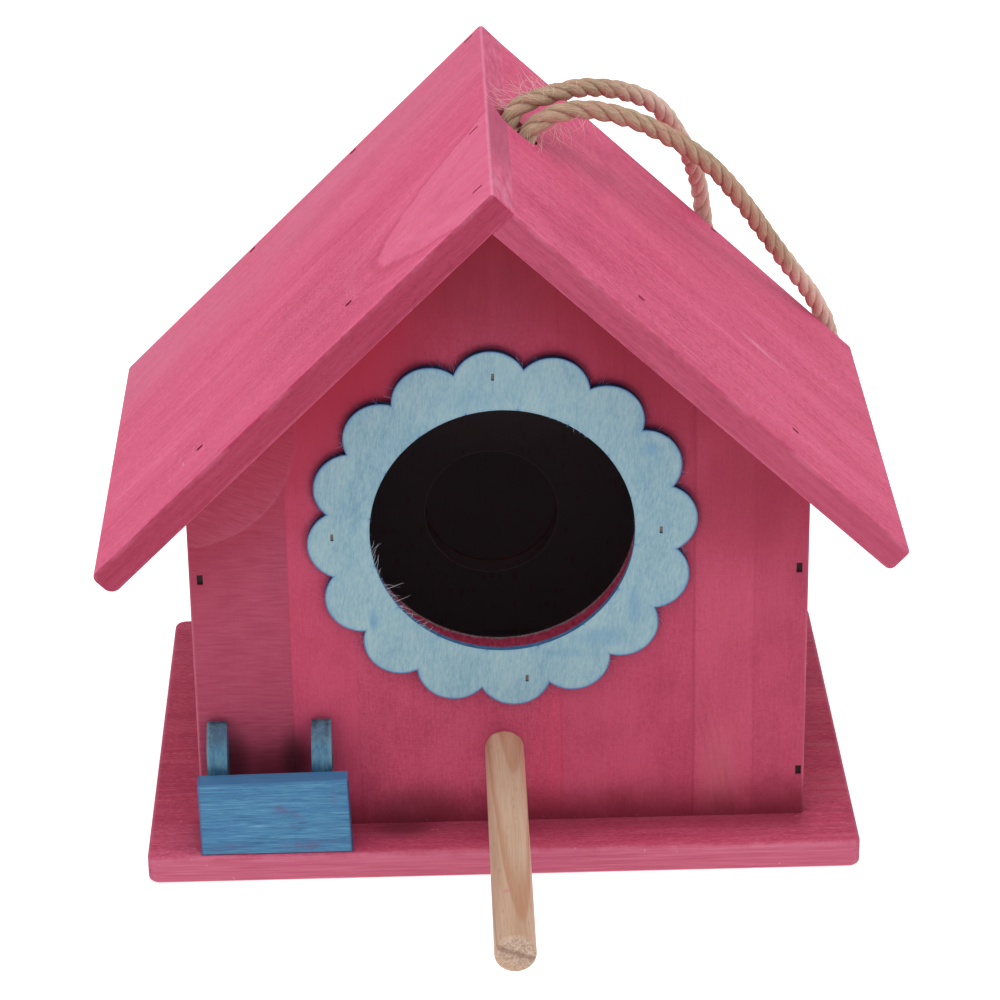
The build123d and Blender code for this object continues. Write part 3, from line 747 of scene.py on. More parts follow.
        # brownish cast below the ridge on the right
        tan = g.mul(g.ease(g.spot(x, z, None, 17.0, 122.0, size=(12.0, 9.0, 1)), 1.0, 0.2),
                    g.ease(g.noise(q, (0.5, 0.2, 1), 3, 0.6, 56), 0.35, 0.65))
        colour = g.mix(g.mul(tan, 0.45), colour, C(168, 92, 96, K))
        # long dark veins high on the left
        veins = g.mul(g.ease(g.noise(qb, (0.012, 1.0, 1.0), 2, 0.5, 57), 0.62, 0.70), g.ease(z, 74.0, 98.0))
        colour = g.mix(g.mul(veins, 0.20), colour, C(138, 34, 62, K))
        # boat-shaped patch let into the wood under the left eave
        wobble = g.mul(g.sub(g.noise(q, (0.12, 0.12, 0.12), 2, 0.5, 58), 0.5), 0.05)
        rr = g.add(g.spot(x, z, None, -63.5, 95.6, size=(23.6, 24.9, 1)), wobble)
        inside = g.ease(rr, 1.006, 0.994)
        across2 = g.axes((-63.5, 0, 95.6), (0.94, 0, -0.34), (0.34, 0, 0.94), (0, 1, 0))
        hatch = g.noise(across2, (1 / 5.0, 1 / 0.42, 1 / 2.0), 4, 0.65, 59, 0.3)
        patch = g.ramp(hatch, [(0.3, C(160, 68, 95, K)), (0.5, C(175, 85, 111, K)), (0.72, C(189, 106, 130, K))])
        colour = g.mix(inside, colour, patch)
        lip = g.mul(g.band(rr, 1.0, 0.006, 0.012), g.ease(g.noise(q, (0.3, 0.3, 0.3), 2, 0.5, 60), 0.30, 0.55))
        colour = g.mix(g.mul(lip, 0.25), colour, C(198, 126, 146, K))
        # painted highlight along the wall's side arrises, broken up by noise
        arris = g.ease(g.m("ABSOLUTE", x), 61.9, 62.3)
        colour = g.mix(g.mul(arris, g.ease(g.noise(q, (0.1, 1, 1), 2, 0.5, 61), 0.30, 0.60, 0.05, 0.42)), colour,
                       C(206, 118, 140, K))
        # stain is thin in places
        pale = g.ease(g.noise(q, (0.03, 0.04, 0.1), 3, 0.6, 62), 0.52, 0.72)
        colour = g.mix(g.mul(pale, 0.20), colour, C(200, 94, 120, K))
        # crumbs of glue along the base
        crumb = g.mul(g.ease(z, 7.2, 6.3), g.ease(g.noise(q, (1.4, 0.8, 1), 2, 0.6, 63), 0.62, 0.68))
        colour = g.mix(g.mul(crumb, 0.35), colour, C(216, 166, 180, K))
        # painted shade along the foot, where the base keeps light off, and painted shadow in the corner under the roof
        foot = g.ease(g.add(z, g.mul(g.sub(cloud, 0.5), 8.0)), 17.0, 6.0)
        colour = g.mix(g.mul(foot, 0.68), colour, C(106, 18, 34, K))
        lift = g.m("MINIMUM", g.sub(g.sub(140.4, g.mul(g.add(x, 0.6), 0.9391)), z),
                   g.sub(g.add(140.4, g.mul(g.add(x, 0.6), 0.9793)), z))
        eave = g.ease(g.add(lift, g.mul(g.sub(cloud, 0.5), 10.0)), 34.0, 2.0)
        eave = g.mul(eave, g.ease(g.m("ABSOLUTE", g.add(x, 0.6)), 62.0, 22.0, 0.45, 1.0))
        colour = g.mix(g.mul(eave, 0.85), colour, C(137, 14, 45, K))
        # painted shadow of the eaves, darkest under the ridge, and reaching further down on the right
        apex = g.mul(g.ease(g.spot(x, z, None, -0.6, 122.0, size=(14.0, 17.0, 1)), 1.1, 0.2), g.ease(cloud, 0.30, 0.60, 0.7, 1.0))
        colour = g.mix(g.mul(apex, 0.38), colour, C(104, 10, 32, K))
        apex = g.mul(g.ease(g.spot(x, z, None, 46.0, 76.0, size=(17.0, 17.0, 1)), 1.1, 0.2), g.ease(cloud, 0.30, 0.60, 0.7, 1.0))
        colour = g.mix(g.mul(apex, 0.42), colour, C(136, 12, 46, K))
        # brighter on the left, where light comes in below the eave
        warm = g.mul(g.mul(eave, g.ease(x, -10.0, -26.0)), 0.55)
        colour = g.mix(warm, colour, C(176, 34, 68, K))
        # painted shade on the wall round the ring's scalloped edge, most of it above
        rx, rz = g.sub(x, 0.7), g.sub(z, 73.2)
        rr2 = g.spot(rx, rz, None, 0.0, 0.0)
        angle = g.sub(g.m("ARCTAN2", rz, rx), math.radians(3.75))
        step = 2 * math.pi / 16
        near = g.sub(angle, g.mul(g.m("ROUND", g.mul(angle, 1 / step)), step))
        u = g.sub(g.mul(rr2, g.m("COSINE", near)), 31.6)
        v = g.mul(rr2, g.m("SINE", near))
        gap = g.sub(g.m("SQRT", g.add(g.mul(u, u), g.mul(v, v))), 7.6)
        ragged = g.mul(g.sub(g.noise(q, (0.9, 0.9, 0.9), 3, 0.65, 69), 0.5), 1.2)
        ring_edge_shade = g.mul(g.ease(g.add(gap, ragged), 1.5, 0.2), g.ease(rz, -12.0, 14.0, 0.30, 1.0))
        colour = g.mix(g.mul(ring_edge_shade, 0.62), colour, C(84, 20, 48, K))
        # painted shade behind the trough and between its cheeks, and painted shadow of the trough and perch beside them
        painted_shadow_spot = g.mul(g.ease(g.spot(x, z, None, -47.0, 19.5, size=(9.0, 8.0, 1)), 1.1, 0.3), g.ease(cloud, 0.30, 0.60, 0.6, 1.0))
        colour = g.mix(g.mul(painted_shadow_spot, 0.50), colour, C(92, 24, 40, K))
        for px, k in ((-42.6, 0.74), (-55.2, 0.62)):
            painted_shadow_spot = g.ease(g.spot(x, z, None, px, 22.0, size=(4.2, 9.0, 1)), 1.1, 0.2)
            colour = g.mix(g.mul(painted_shadow_spot, k), colour, C(64, 20, 32, K))
        painted_shadow_spot = g.mul(g.ease(g.spot(x, z, None, -17.0, 9.0, size=(11.0, 8.0, 1)), 1.1, 0.3), g.ease(cloud, 0.30, 0.60, 0.6, 1.0))
        colour = g.mix(g.mul(painted_shadow_spot, 0.45), colour, C(88, 16, 32, K))
        # the entrance: the bore is stained unevenly and its inner rim is ragged
        bore = g.spot(x, z, None, 0.25, 73.45, size=(1, 1, 1))
        in_bore = g.mul(g.ease(bore, 28.3, 27.9), g.ease(g.y, FRONT + 0.2, FRONT + 0.6))
        ring = g.ramp(g.noise(q, (1.2, 1.2, 0.5), 3, 0.6, 64), [(0.3, C(128, 30, 56, K)), (0.7, C(180, 62, 92, K))])
        colour = g.mix(in_bore, colour, ring)
        rag = g.mul(g.sub(g.noise(q, (0.8, 0.8, 0.8), 3, 0.7, 65), 0.5), 2.4)
        inner = g.ease(g.add(g.y, rag), FRONT + 5.0, FRONT + 5.5)
        colour = g.mix(inner, colour, INSIDE)
    else:
        if kind == "back":
            for at in (-36.0, -8.5, 21.0, 46.5):
                seam = g.band(g.add(g.x, g.mul(g.sub(g.noise(q, (0.02, 0.001, 0.001), 1, 0.5, 52), 0.5), 1.6)), at, 0.12, 0.3)
                colour = g.mix(g.mul(seam, 0.35), colour, C(136, 34, 62, K))
            strip = g.mul(g.ease(g.x, -8.7, -8.3), g.ease(g.x, 21.2, 20.8))
            colour = g.mix(g.mul(strip, 0.30), colour, C(166, 60, 90, K))
            strip = g.ease(g.x, 46.3, 46.7)
            colour = g.mix(g.mul(strip, 0.30), colour, C(200, 84, 112, K))
            inner = g.m("MAXIMUM", g.ease(g.y, BACK - 5.0, BACK - 5.6),
                        g.mul(g.ease(g.spot(g.x, g.z, None, 0.0, 36.0), 15.3, 15.05), g.ease(g.y, BACK - 0.3, BACK - 0.7)))
            colour = g.mix(inner, colour, INSIDE)
            # the clean-out bore is left bare, so it is paler than the walls inside; the paler tone is also painted
            # light that offsets the shade in the bore
            well = g.mul(g.ease(g.spot(g.x, g.z, None, 0.0, 36.0), 15.3, 15.05), g.ease(g.y, BACK - 0.3, BACK - 0.7))
            colour = g.mix(well, colour, C(164, 138, 145))
        else:
            figure = g.ease(g.noise(qb, (0.02, 0.35, 0.3), 3, 0.6, 66, 0.8), 0.52, 0.70)
            colour = g.mix(g.mul(figure, 0.40), colour, C(150, 46, 78, K))
            inner = g.ease(g.m("ABSOLUTE", g.x), 57.4, 56.9)
            colour = g.mix(inner, colour, INSIDE)
        spots = pores(g, qb, 1.6, 0.2, 0.3, 9)
        colour = g.mix(g.mul(spots, 0.4), colour, C(140, 34, 66, K))
        arris = g.ease(g.m("ABSOLUTE", g.x), 61.9, 62.4)
        if kind == "back":
            colour = g.mix(g.mul(arris, 0.4), colour, C(212, 126, 150, K))
    rough = g.ease(weave, 0.3, 0.7, 0.62, 0.76)
    return g.finish(colour, rough, height, 0.00008)


K = (0.88, 0.78, 0.82)
dress("front_panel", wall_wood("wall_front_stain", "front"))
dress("back_panel", wall_wood("wall_back_stain", "back"))
side_stain = wall_wood("wall_side_stain", "sides")
dress("left_side_panel", side_stain)
dress("right_side_panel", side_stain)


# base ---------------------------------------------------------------------
def base_wood():
    g = Mat("base_stain", specular=0.28)
    x, y, z = g.x, g.y, g.z
    q = g.join(x, y, z)
    wob = g.noise(q, (0.02, 0.08, 0.2), 2.0, 0.5, 71)
    qb = g.join(x, g.add(y, g.mul(g.sub(wob, 0.5), 5.0)), z)
    colour, thin, fine2, broad, t = wood(g, qb, C(150, 40, 74, K), C(184, 70, 100, K), C(204, 100, 126, K),
                                         contrast=0.60, fine=0.40, length=12, seed=9)
    veins = g.ease(g.noise(qb, (0.020, 0.85, 0.8), 3, 0.65, 73), 0.57, 0.68)
    colour = g.mix(g.mul(veins, 0.36), colour, C(154, 34, 70, K))
    spots = pores(g, qb, 2.4, 0.18, 0.35, 11)
    colour = g.mix(g.mul(spots, 0.4), colour, C(138, 34, 64, K))
    grey = g.mul(g.ease(x, 58.0, 70.0), g.ease(g.noise(q, (0.03, 0.3, 0.3), 3, 0.6, 74), 0.48, 0.66))
    colour = g.mix(g.mul(grey, 0.35), colour, C(178, 104, 118, K))
    # painted shadow on the base where the wall stands, beside the trough
    painted_shadow_spot = g.mul(g.ease(g.spot(x, y, None, -20.5, FRONT - 2.0, size=(8.5, 5.0, 1)), 1.1, 0.2), g.ease(z, 5.0, 5.8))
    colour = g.mix(g.mul(painted_shadow_spot, 0.68), colour, C(80, 20, 32, K))
    nx, ny, nz = g.split(g.N)
    edge = g.ease(g.m("ABSOLUTE", ny), 0.55, 0.85)
    fine = g.noise(q, (1 / 14.0, 1, 1 / 0.35), 3, 0.6, 75)
    front = g.ramp(fine, [(0.28, C(172, 72, 99, K)), (0.5, C(184, 86, 112, K)), (0.74, C(194, 104, 127, K))])
    colour = g.mix(edge, colour, front)
    tip = g.ease(g.m("ABSOLUTE", nx), 0.55, 0.85)
    ends = g.ramp(g.noise(q, (1, 1 / 1.2, 1 / 0.8), 3, 0.6, 76), [(0.3, C(148, 50, 84, K)), (0.7, C(186, 90, 120, K))])
    colour = g.mix(tip, colour, ends)
    rub = g.noise(q, (0.14, 0.14, 0.14), 3, 0.65, 77)
    top_edge = g.m("SQRT", g.add(g.mul(g.add(y, 54.0), g.add(y, 54.0)), g.mul(g.sub(z, 6.0), g.sub(z, 6.0))))
    wear = g.mul(g.ease(top_edge, 1.5, 0.5), g.ease(rub, 0.36, 0.62))
    colour = g.mix(g.mul(wear, 0.28), colour, C(212, 128, 150, K))
    # painted shade on the base's top in front of the wall
    painted_foot_shade = g.mul(g.ease(g.add(y, g.mul(g.sub(broad, 0.5), 6.0)), -52.5, -42.5), g.mul(g.ease(g.m("ABSOLUTE", x), 66.0, 60.0), g.ease(y, FRONT + 4.0, FRONT + 1.0)))
    colour = g.mix(g.mul(painted_foot_shade, 0.55), colour, C(112, 30, 48, K))
    specks = g.ease(g.noise(q, (0.9, 0.9, 0.9), 1, 0.5, 78), 0.755, 0.79)
    colour = g.mix(g.mul(specks, 0.30), colour, C(222, 170, 186, K))
    inside = g.mul(g.mul(g.ease(g.m("ABSOLUTE", x), 57.2, 56.4), g.ease(z, 5.5, 5.9)),
                   g.mul(g.ease(y, FRONT + 5.0, FRONT + 5.8), g.ease(y, BACK - 5.0, BACK - 5.8)))
    colour = g.mix(inside, colour, INSIDE)
    rough = g.ease(thin, 0.3, 0.7, 0.60, 0.74)
    height = g.sub(g.mul(thin, 0.7), g.mul(veins, 0.4))
    return g.finish(colour, rough, height, 0.00010)


K = (0.98, 0.98, 0.99)
dress("base_board", base_wood())


# ring ---------------------------------------------------------------------
def ring_paint():
    g = Mat("ring_wash", specular=0.30)
    x, z = g.sub(g.x, 0.7), g.sub(g.z, 73.2)
    q = g.P
    cloud = g.noise(q, (0.11, 0.5, 0.07), 4, 0.6, 81, 0.6)
    brush = g.noise(g.axes((0, 0, 0), (0.12, 0, 0.99), (0.99, 0, -0.12), (0, 1, 0)), (1 / 4.0, 1 / 0.7, 1), 4, 0.68, 82, 0.3)
    t = g.add(g.mul(cloud, 0.62), g.mul(brush, 0.38))
    colour = g.ramp(t, [(0.32, C(108, 152, 174, K)), (0.46, C(130, 168, 184, K)), (0.60, C(150, 182, 190, K)),
                        (0.74, C(172, 192, 194, K))])
    fibre = g.noise(g.axes((0, 0, 0), (0.12, 0, 0.99), (0.99, 0, -0.12), (0, 1, 0)), (1 / 1.4, 1 / 0.30, 1), 4, 0.72, 83)
    colour = g.mix(g.ease(fibre, 0.38, 0.62, 0.0, 0.45, "LINEAR"), colour, C(172, 192, 194, K))
    colour = g.mix(g.ease(fibre, 0.56, 0.36, 0.0, 0.25, "LINEAR"), colour, C(104, 146, 170, K))
    # blue blots
    for p, r, k in (((-26.3, -19.2), (1.1, 2.6), 0.55), ((29.8, 17.5), (2.2, 2.0), 0.45), ((20.0, -24.0), (7.0, 2.4), 0.35),
                    ((-6.0, 29.0), (6.0, 3.0), 0.22), ((26.5, -17.0), (1.6, 5.5), 0.35), ((12.5, -27.5), (5.0, 1.3), 0.30)):
        blot = g.mul(g.ease(g.spot(x, z, None, p[0], p[1], size=(*r, 1)), 1.3, 0.2), g.ease(cloud, 0.30, 0.60, 0.6, 1.0))
        colour = g.mix(g.mul(blot, k), colour, C(84, 142, 184, K))
    dirt = g.ease(g.noise(q, (0.7, 0.7, 0.9), 3, 0.7, 84), 0.66, 0.72)
    colour = g.mix(g.mul(dirt, 0.18), colour, C(150, 158, 140, K))
    # distance in from the scalloped edge and from the bore
    r = g.spot(x, z, None, 0.0, 0.0)
    angle = g.sub(g.m("ARCTAN2", z, x), math.radians(3.75))
    step = 2 * math.pi / 16
    near = g.sub(angle, g.mul(g.m("ROUND", g.mul(angle, 1 / step)), step))
    u = g.sub(g.mul(r, g.m("COSINE", near)), 31.6)
    v = g.mul(r, g.m("SINE", near))
    rim = g.sub(7.6, g.m("SQRT", g.add(g.mul(u, u), g.mul(v, v))))
    uneven = g.mul(g.sub(g.noise(q, (0.5, 0.5, 0.5), 3, 0.6, 85), 0.5), 0.9)
    soak = g.ease(g.add(rim, uneven), 1.0, 0.05)
    colour = g.mix(g.mul(soak, 0.40), colour, C(92, 146, 184, K))
    soak = g.ease(g.add(g.sub(r, 26.6), g.mul(uneven, 0.6)), 0.6, 0.05)
    colour = g.mix(g.mul(soak, 0.22), colour, C(104, 154, 186, K))
    line = g.ease(g.add(rim, g.mul(uneven, 0.35)), 0.34, 0.16)
    colour = g.mix(g.mul(line, 0.75), colour, C(58, 102, 158, K))
    # the sawn edges
    nx, ny, nz = g.split(g.N)
    side = g.ease(g.m("ABSOLUTE", ny), 0.7, 0.4)
    outer = g.ease(r, 29.0, 30.0)
    plies = g.band(g.m("FRACT", g.mul(g.sub(g.y, FRONT), 2.0)), 0.5, 0.12, 0.2)
    tone = g.noise(q, (0.5, 1.4, 0.5), 3, 0.6, 86)
    dark = g.ramp(tone, [(0.3, C(12, 32, 62, K)), (0.7, C(28, 64, 106, K))])
    bore = g.ramp(tone, [(0.3, C(48, 96, 150, K)), (0.7, C(96, 148, 190, K))])
    bore = g.mix(g.mul(plies, 0.6), bore, C(40, 78, 130, K))
    colour = g.mix(side, colour, g.mix(outer, bore, dark))
    rough = g.ease(cloud, 0.3, 0.7, 0.55, 0.70)
    height = g.add(g.mul(brush, 0.5), g.mul(fibre, 0.5))
    return g.finish(colour, rough, height, 0.00007)


K = (0.80, 0.82, 0.83)
dress("entrance_ring", ring_paint())


# trough -------------------------------------------------------------------
def trough_paint(name, cheek):
    g = Mat(name, specular=0.34)
    x, y, z = g.x, g.y, g.z
    q = g.join(z, y, x) if cheek else g.join(x, y, z)
    along = 1 / (5.0 if cheek else 9.0)
    grain = g.noise(q, (along * 1.6, 1 / 0.5, 1 / 0.30), 4, 0.7, 91)
    coarse = g.noise(q, (along * 0.5, 1 / 1.6, 1 / 1.3), 3, 0.6, 92, 0.4)
    t = g.add(g.mul(grain, 0.6), g.mul(coarse, 0.4))
    colour = g.ramp(t, [(0.30, C(28, 78, 122, K)), (0.44, C(56, 112, 152, K)), (0.56, C(76, 134, 170, K)),
                        (0.70, C(112, 166, 190, K))])
    if cheek:
        colour = g.mix(0.45, colour, C(70, 106, 130, K))
        mauve = g.mul(g.ease(z, 27.6, 29.6), 0.65)
        colour = g.mix(mauve, colour, C(66, 88, 112, K))
        # painted shade low on the cheek, where the front board shades it
        low = g.mul(g.ease(z, 25.6, 22.8), 0.70)
        colour = g.mix(low, colour, C(26, 60, 92, K))
        # painted shadow line along the cheek's top against the wall
        line = g.mul(g.ease(z, 30.7, 31.2), 0.7)
        colour = g.mix(line, colour, C(36, 58, 84, K))
        mottle = g.ease(g.noise(q, (0.25, 0.6, 0.6), 4, 0.65, 99), 0.42, 0.60)
        colour = g.mix(g.mul(mottle, 0.40), colour, C(104, 150, 166, K))
        pale = g.mul(g.band(x, -35.1, 0.15, 0.30), g.ease(z, 23.0, 26.0))
        colour = g.mix(g.mul(pale, 0.30), colour, C(130, 170, 184, K))
        pale = g.mul(g.band(x, -60.1, 0.15, 0.30), g.ease(z, 23.0, 26.0))
        colour = g.mix(g.mul(pale, 0.30), colour, C(130, 170, 184, K))
    else:
        light = g.ease(g.noise(q, (0.05, 1, 1 / 0.5), 3, 0.65, 93), 0.58, 0.68)
        colour = g.mix(g.mul(light, 0.30), colour, C(116, 168, 190, K))
        deep = g.ease(g.noise(q, (0.10, 1, 1 / 0.34), 4, 0.7, 94), 0.57, 0.66)
        colour = g.mix(g.mul(deep, 0.60), colour, C(18, 58, 96, K))
        hair = g.ease(g.noise(q, (0.16, 1, 1 / 0.22), 3, 0.7, 87), 0.64, 0.70)
        colour = g.mix(g.mul(hair, 0.65), colour, C(12, 40, 70, K))
        blue = g.mul(g.ease(g.noise(q, (0.08, 1, 0.16), 3, 0.6, 95), 0.45, 0.65), g.ease(x, -44.0, -58.0, 0.2, 1.0))
        colour = g.mix(g.mul(blue, 0.30), colour, C(48, 96, 156, K))
        for px, pz, sx, sz, k in ((-45.6, 16.6, 2.8, 1.6, 0.60), (-42.2, 14.6, 1.6, 1.2, 0.55), (-42.5, 12.8, 2.6, 1.0, 0.40),
                                  (-40.0, 8.0, 6.5, 1.5, 0.60), (-56.0, 7.6, 5.0, 1.4, 0.35), (-34.2, 18.5, 1.2, 2.5, 0.25)):
            blot = g.mul(g.ease(g.spot(x, z, None, px, pz, size=(sx, sz, 1)), 1.3, 0.2),
                         g.ease(g.noise(q, (0.5, 1, 0.8), 3, 0.65, 96), 0.35, 0.60))
            colour = g.mix(g.mul(blot, k), colour, C(96, 88, 126, K))
        top = g.ease(g.split(g.N)[2], 0.4, 0.8)
        colour = g.mix(g.mul(top, 0.60), colour, C(76, 122, 166, K))
        upper = g.ease(z, 21.4, 22.4)
        colour = g.mix(g.mul(upper, 0.10), colour, C(30, 70, 112, K))
        # frayed arrises and the pink that has crept round the ends
        ragged = g.mul(g.sub(g.noise(q, (0.6, 1, 1.2), 3, 0.7, 98), 0.5), 1.1)
        right = g.ease(g.add(x, ragged), -31.9, -31.4)
        colour = g.mix(g.mul(right, 0.45), colour, C(40, 84, 124, K))
        leftm = g.ease(g.add(x, g.mul(ragged, 0.5)), -61.5, -62.0)
        colour = g.mix(g.mul(leftm, 0.40), colour, C(84, 70, 130, K))
        bottom = g.ease(g.add(z, g.mul(ragged, 0.5)), 7.0, 6.3)
        colour = g.mix(g.mul(bottom, 0.35), colour, C(100, 140, 176, K))
        nx, ny, nz = g.split(g.N)
        ends = g.ease(g.m("ABSOLUTE", nx), 0.5, 0.8)
        colour = g.mix(g.mul(ends, 0.7), colour, C(62, 66, 112, K))
    rough = g.ease(grain, 0.3, 0.7, 0.50, 0.68)
    height = g.add(g.mul(grain, 0.8), g.mul(coarse, 0.4))
    return g.finish(colour, rough, height, 0.00016)


K = (0.80, 0.88, 0.91)
dress("trough_front_board", trough_paint("trough_board_wash", False))
K = (0.78, 0.80, 0.80)
cheeks = trough_paint("trough_cheek_wash", True)
dress("trough_left_cheek", cheeks)
dress("trough_right_cheek", cheeks)


# perch --------------------------------------------------------------------
def bare_dowel():
    g = Mat("bare_pine", specular=0.35)
    x, y, z = g.sub(g.x, 0.5), g.y, g.sub(g.z, 23.2)
    q = g.P
    # growth rings: planes that lean a little along the dowel and come out at its surface
    u = g.add(g.mul(x, 0.363), g.mul(z, 0.932))
    lean = g.mul(g.add(y, 62.7), -0.05)
    wob = g.mul(g.sub(g.noise(q, (0.12, 0.02, 0.12), 3, 0.6, 101), 0.5), 1.3)
    u = g.add(u, wob)
    base = g.ramp(g.noise(q, (0.25, 0.02, 0.25), 3, 0.6, 102), [(0.3, C(188, 152, 126, K)), (0.5, C(202, 168, 142, K)),
                                                               (0.75, C(214, 186, 162, K))])
    colour = base
    for start, wide, depth, tone in ((3.15, 1.5, 0.55, (182, 128, 94)), (1.35, 1.25, 0.60, (180, 124, 88)),
                                     (-2.75, 1.0, 0.60, (148, 108, 90)), (-6.2, 1.2, 0.55, (174, 124, 94))):
        if start == 3.15:
            level = g.add(3.15, g.mul(g.add(y, 44.0), -0.05))
        else:
            level = g.add(start, lean)
        d = g.sub(u, level)
        late = g.mul(g.ease(d, -0.12, 0.10), g.ease(d, wide, 0.15))
        colour = g.mix(g.mul(late, depth), colour, C(*tone, K))
    fibre = g.noise(q, (1 / 0.30, 1 / 9.0, 1 / 0.30), 3, 0.62, 103)
    colour = g.mix(g.ease(fibre, 0.40, 0.70, 0.0, 0.30), colour, C(182, 136, 100, K))
    colour = g.mix(g.ease(fibre, 0.40, 0.25, 0.0, 0.25), colour, C(226, 202, 180, K))
    dash = pores(g, g.join(y, x, z), 1.6, 0.16, 0.30, 13)
    colour = g.mix(g.mul(dash, 0.35), colour, C(150, 104, 74, K))
    # smears of stain near the wall and one half way along, and a pinkish painted highlight on the sides
    rose = g.ease(g.noise(q, (0.3, 0.05, 0.3), 3, 0.6, 104), 0.40, 0.70)
    sides = g.ease(g.m("ABSOLUTE", x), 2.9, 3.9)
    colour = g.mix(g.mul(g.mul(sides, rose), 0.40), colour, C(226, 160, 146, K))
    wall = g.mul(g.ease(g.add(y, g.mul(g.sub(g.noise(q, (1, 1, 1), 2, 0.5, 105), 0.5), 1.2)), FRONT - 0.7, FRONT - 0.1), 0.7)
    colour = g.mix(wall, colour, C(170, 64, 90, K))
    smear = g.mul(g.ease(g.spot(x, y, None, -1.2, -104.7, size=(0.9, 0.7, 1)), 1.0, 0.3), g.ease(z, 2.6, 3.0))
    colour = g.mix(g.mul(smear, 0.60), colour, C(214, 112, 140, K))
    # sawn end: greyer, speckled, with one dark ring across it
    nx, ny, nz = g.split(g.N)
    end = g.ease(ny, -0.6, -0.85)
    grit = g.noise(q, (2.6, 1, 2.6), 3, 0.65, 106)
    face = g.ramp(grit, [(0.28, C(142, 112, 96, K)), (0.5, C(190, 160, 140, K)), (0.72, C(216, 192, 172, K))])
    mark = g.add(g.add(g.mul(x, 0.363), g.mul(z, 0.932)), g.mul(g.sub(g.noise(q, (0.9, 1, 0.9), 3, 0.7, 107), 0.5), 1.2))
    face = g.mix(g.mul(g.band(mark, 0.15, 0.18, 0.70), 0.60), face, C(128, 90, 72, K))
    face = g.mix(g.mul(g.ease(mark, -0.6, -3.2), 0.35), face, C(206, 164, 132, K))
    colour = g.mix(end, colour, face)
    rough = g.ease(fibre, 0.3, 0.7, 0.50, 0.64)
    return g.finish(colour, rough, g.mul(fibre, 0.8), 0.00006)


K = 0.86
dress("perch_dowel", bare_dowel())
K = 1.0


# metal and cover -----------------------------------------------------------
def nail_steel():
    g = Mat("nail_steel", specular=0.4, metallic=0.35)
    tone = g.noise(g.P, (1.6, 1.6, 1.6), 3, 0.6, 111)
    colour = g.ramp(tone, [(0.3, C(22, 12, 14, K)), (0.55, C(40, 24, 24, K)), (0.75, C(66, 40, 34, K))])
    return g.finish(colour, g.ease(tone, 0.3, 0.7, 0.50, 0.75), tone, 0.00004)


steel = nail_steel()
for name in ("front_panel_nails", "back_panel_nails", "ridge_nails", "roof_left_nails", "roof_right_nails", "base_nails"):
    dress(name, steel)


def pin_steel():
    g = Mat("pin_steel", specular=0.4, metallic=0.2)
    tone = g.noise(g.P, (2.0, 2.0, 2.0), 3, 0.6, 113)
    colour = g.ramp(tone, [(0.3, C(96, 84, 72, K)), (0.7, C(140, 130, 114, K))])
    return g.finish(colour, g.ease(tone, 0.3, 0.7, 0.50, 0.75), tone, 0.00004)


dress("ring_pins", pin_steel())


def zinc():
    g = Mat("zinc_plate", specular=0.5, metallic=0.9)
    fine = g.noise(g.P, (1.2, 1.2, 1.2), 4, 0.6, 115)
    flake, shade = g.cells(g.P, (1.1, 1.1, 1.1), seed=3)
    t = g.add(g.mul(fine, 0.6), g.mul(g.split(shade)[0], 0.4))
    colour = g.ramp(t, [(0.25, C(120, 118, 112, K)), (0.5, C(164, 163, 158, K)), (0.8, C(196, 194, 186, K))])
    rust = g.ease(g.noise(g.P, (0.9, 0.9, 0.9), 3, 0.65, 116), 0.62, 0.74)
    colour = g.mix(g.mul(rust, 0.35), colour, C(128, 92, 66, K))
    return g.finish(colour, g.ease(t, 0.2, 0.8, 0.30, 0.50), fine, 0.00004)


plated = zinc()
dress("cleanout_screw", plated)
dress("cleanout_washer", plated)


def cover_ply():
    g = Mat("cover_stain", specular=0.28)
    q = g.join(g.z, g.x, g.y)
    colour, thin, fine2, broad, t = wood(g, q, C(162, 44, 80, K), C(188, 70, 104, K), C(206, 100, 130, K),
                                         contrast=0.8, fine=0.40, length=16, seed=12)
    r = g.spot(g.x, g.z, None, 0.0, 62.0)
    ringwear = g.mul(g.band(r, 5.0, 0.5, 0.9), g.ease(g.noise(q, (0.5, 0.5, 0.5), 2, 0.5, 121), 0.35, 0.6))
    colour = g.mix(g.mul(ringwear, 0.35), colour, C(220, 150, 168, K))
    nx, ny, nz = g.split(g.N)
    side = g.ease(g.m("ABSOLUTE", ny), 0.75, 0.45)
    ply = g.band(g.sub(g.y, 51.65), 1.5, 0.42, 0.12)
    rim = g.ramp(g.noise(q, (0.8, 0.8, 2.0), 3, 0.6, 122), [(0.3, C(140, 40, 72, K)), (0.7, C(196, 96, 124, K))])
    rim = g.mix(g.mul(ply, 0.6), rim, C(120, 40, 62, K))
    colour = g.mix(side, colour, rim)
    finger = g.mul(g.ease(g.spot(g.x, g.z, None, 0.0, 26.0, size=(9, 7, 1)), 1.2, 0.2),
                   g.ease(g.noise(q, (0.2, 0.3, 1), 3, 0.6, 123), 0.40, 0.65))
    colour = g.mix(g.mul(finger, 0.30), colour, C(216, 142, 162, K))
    hidden = g.mul(g.ease(ny, -0.5, -0.9), g.ease(g.spot(g.x, g.z, None, 0.0, 36.0), 15.6, 15.0))
    colour = g.mix(hidden, colour, INSIDE)
    return g.finish(colour, g.ease(thin, 0.3, 0.7, 0.60, 0.74), g.mul(thin, 0.7), 0.00008)


K = (0.90, 0.82, 0.86)
dress("cleanout_cover", cover_ply())
K = 1.0


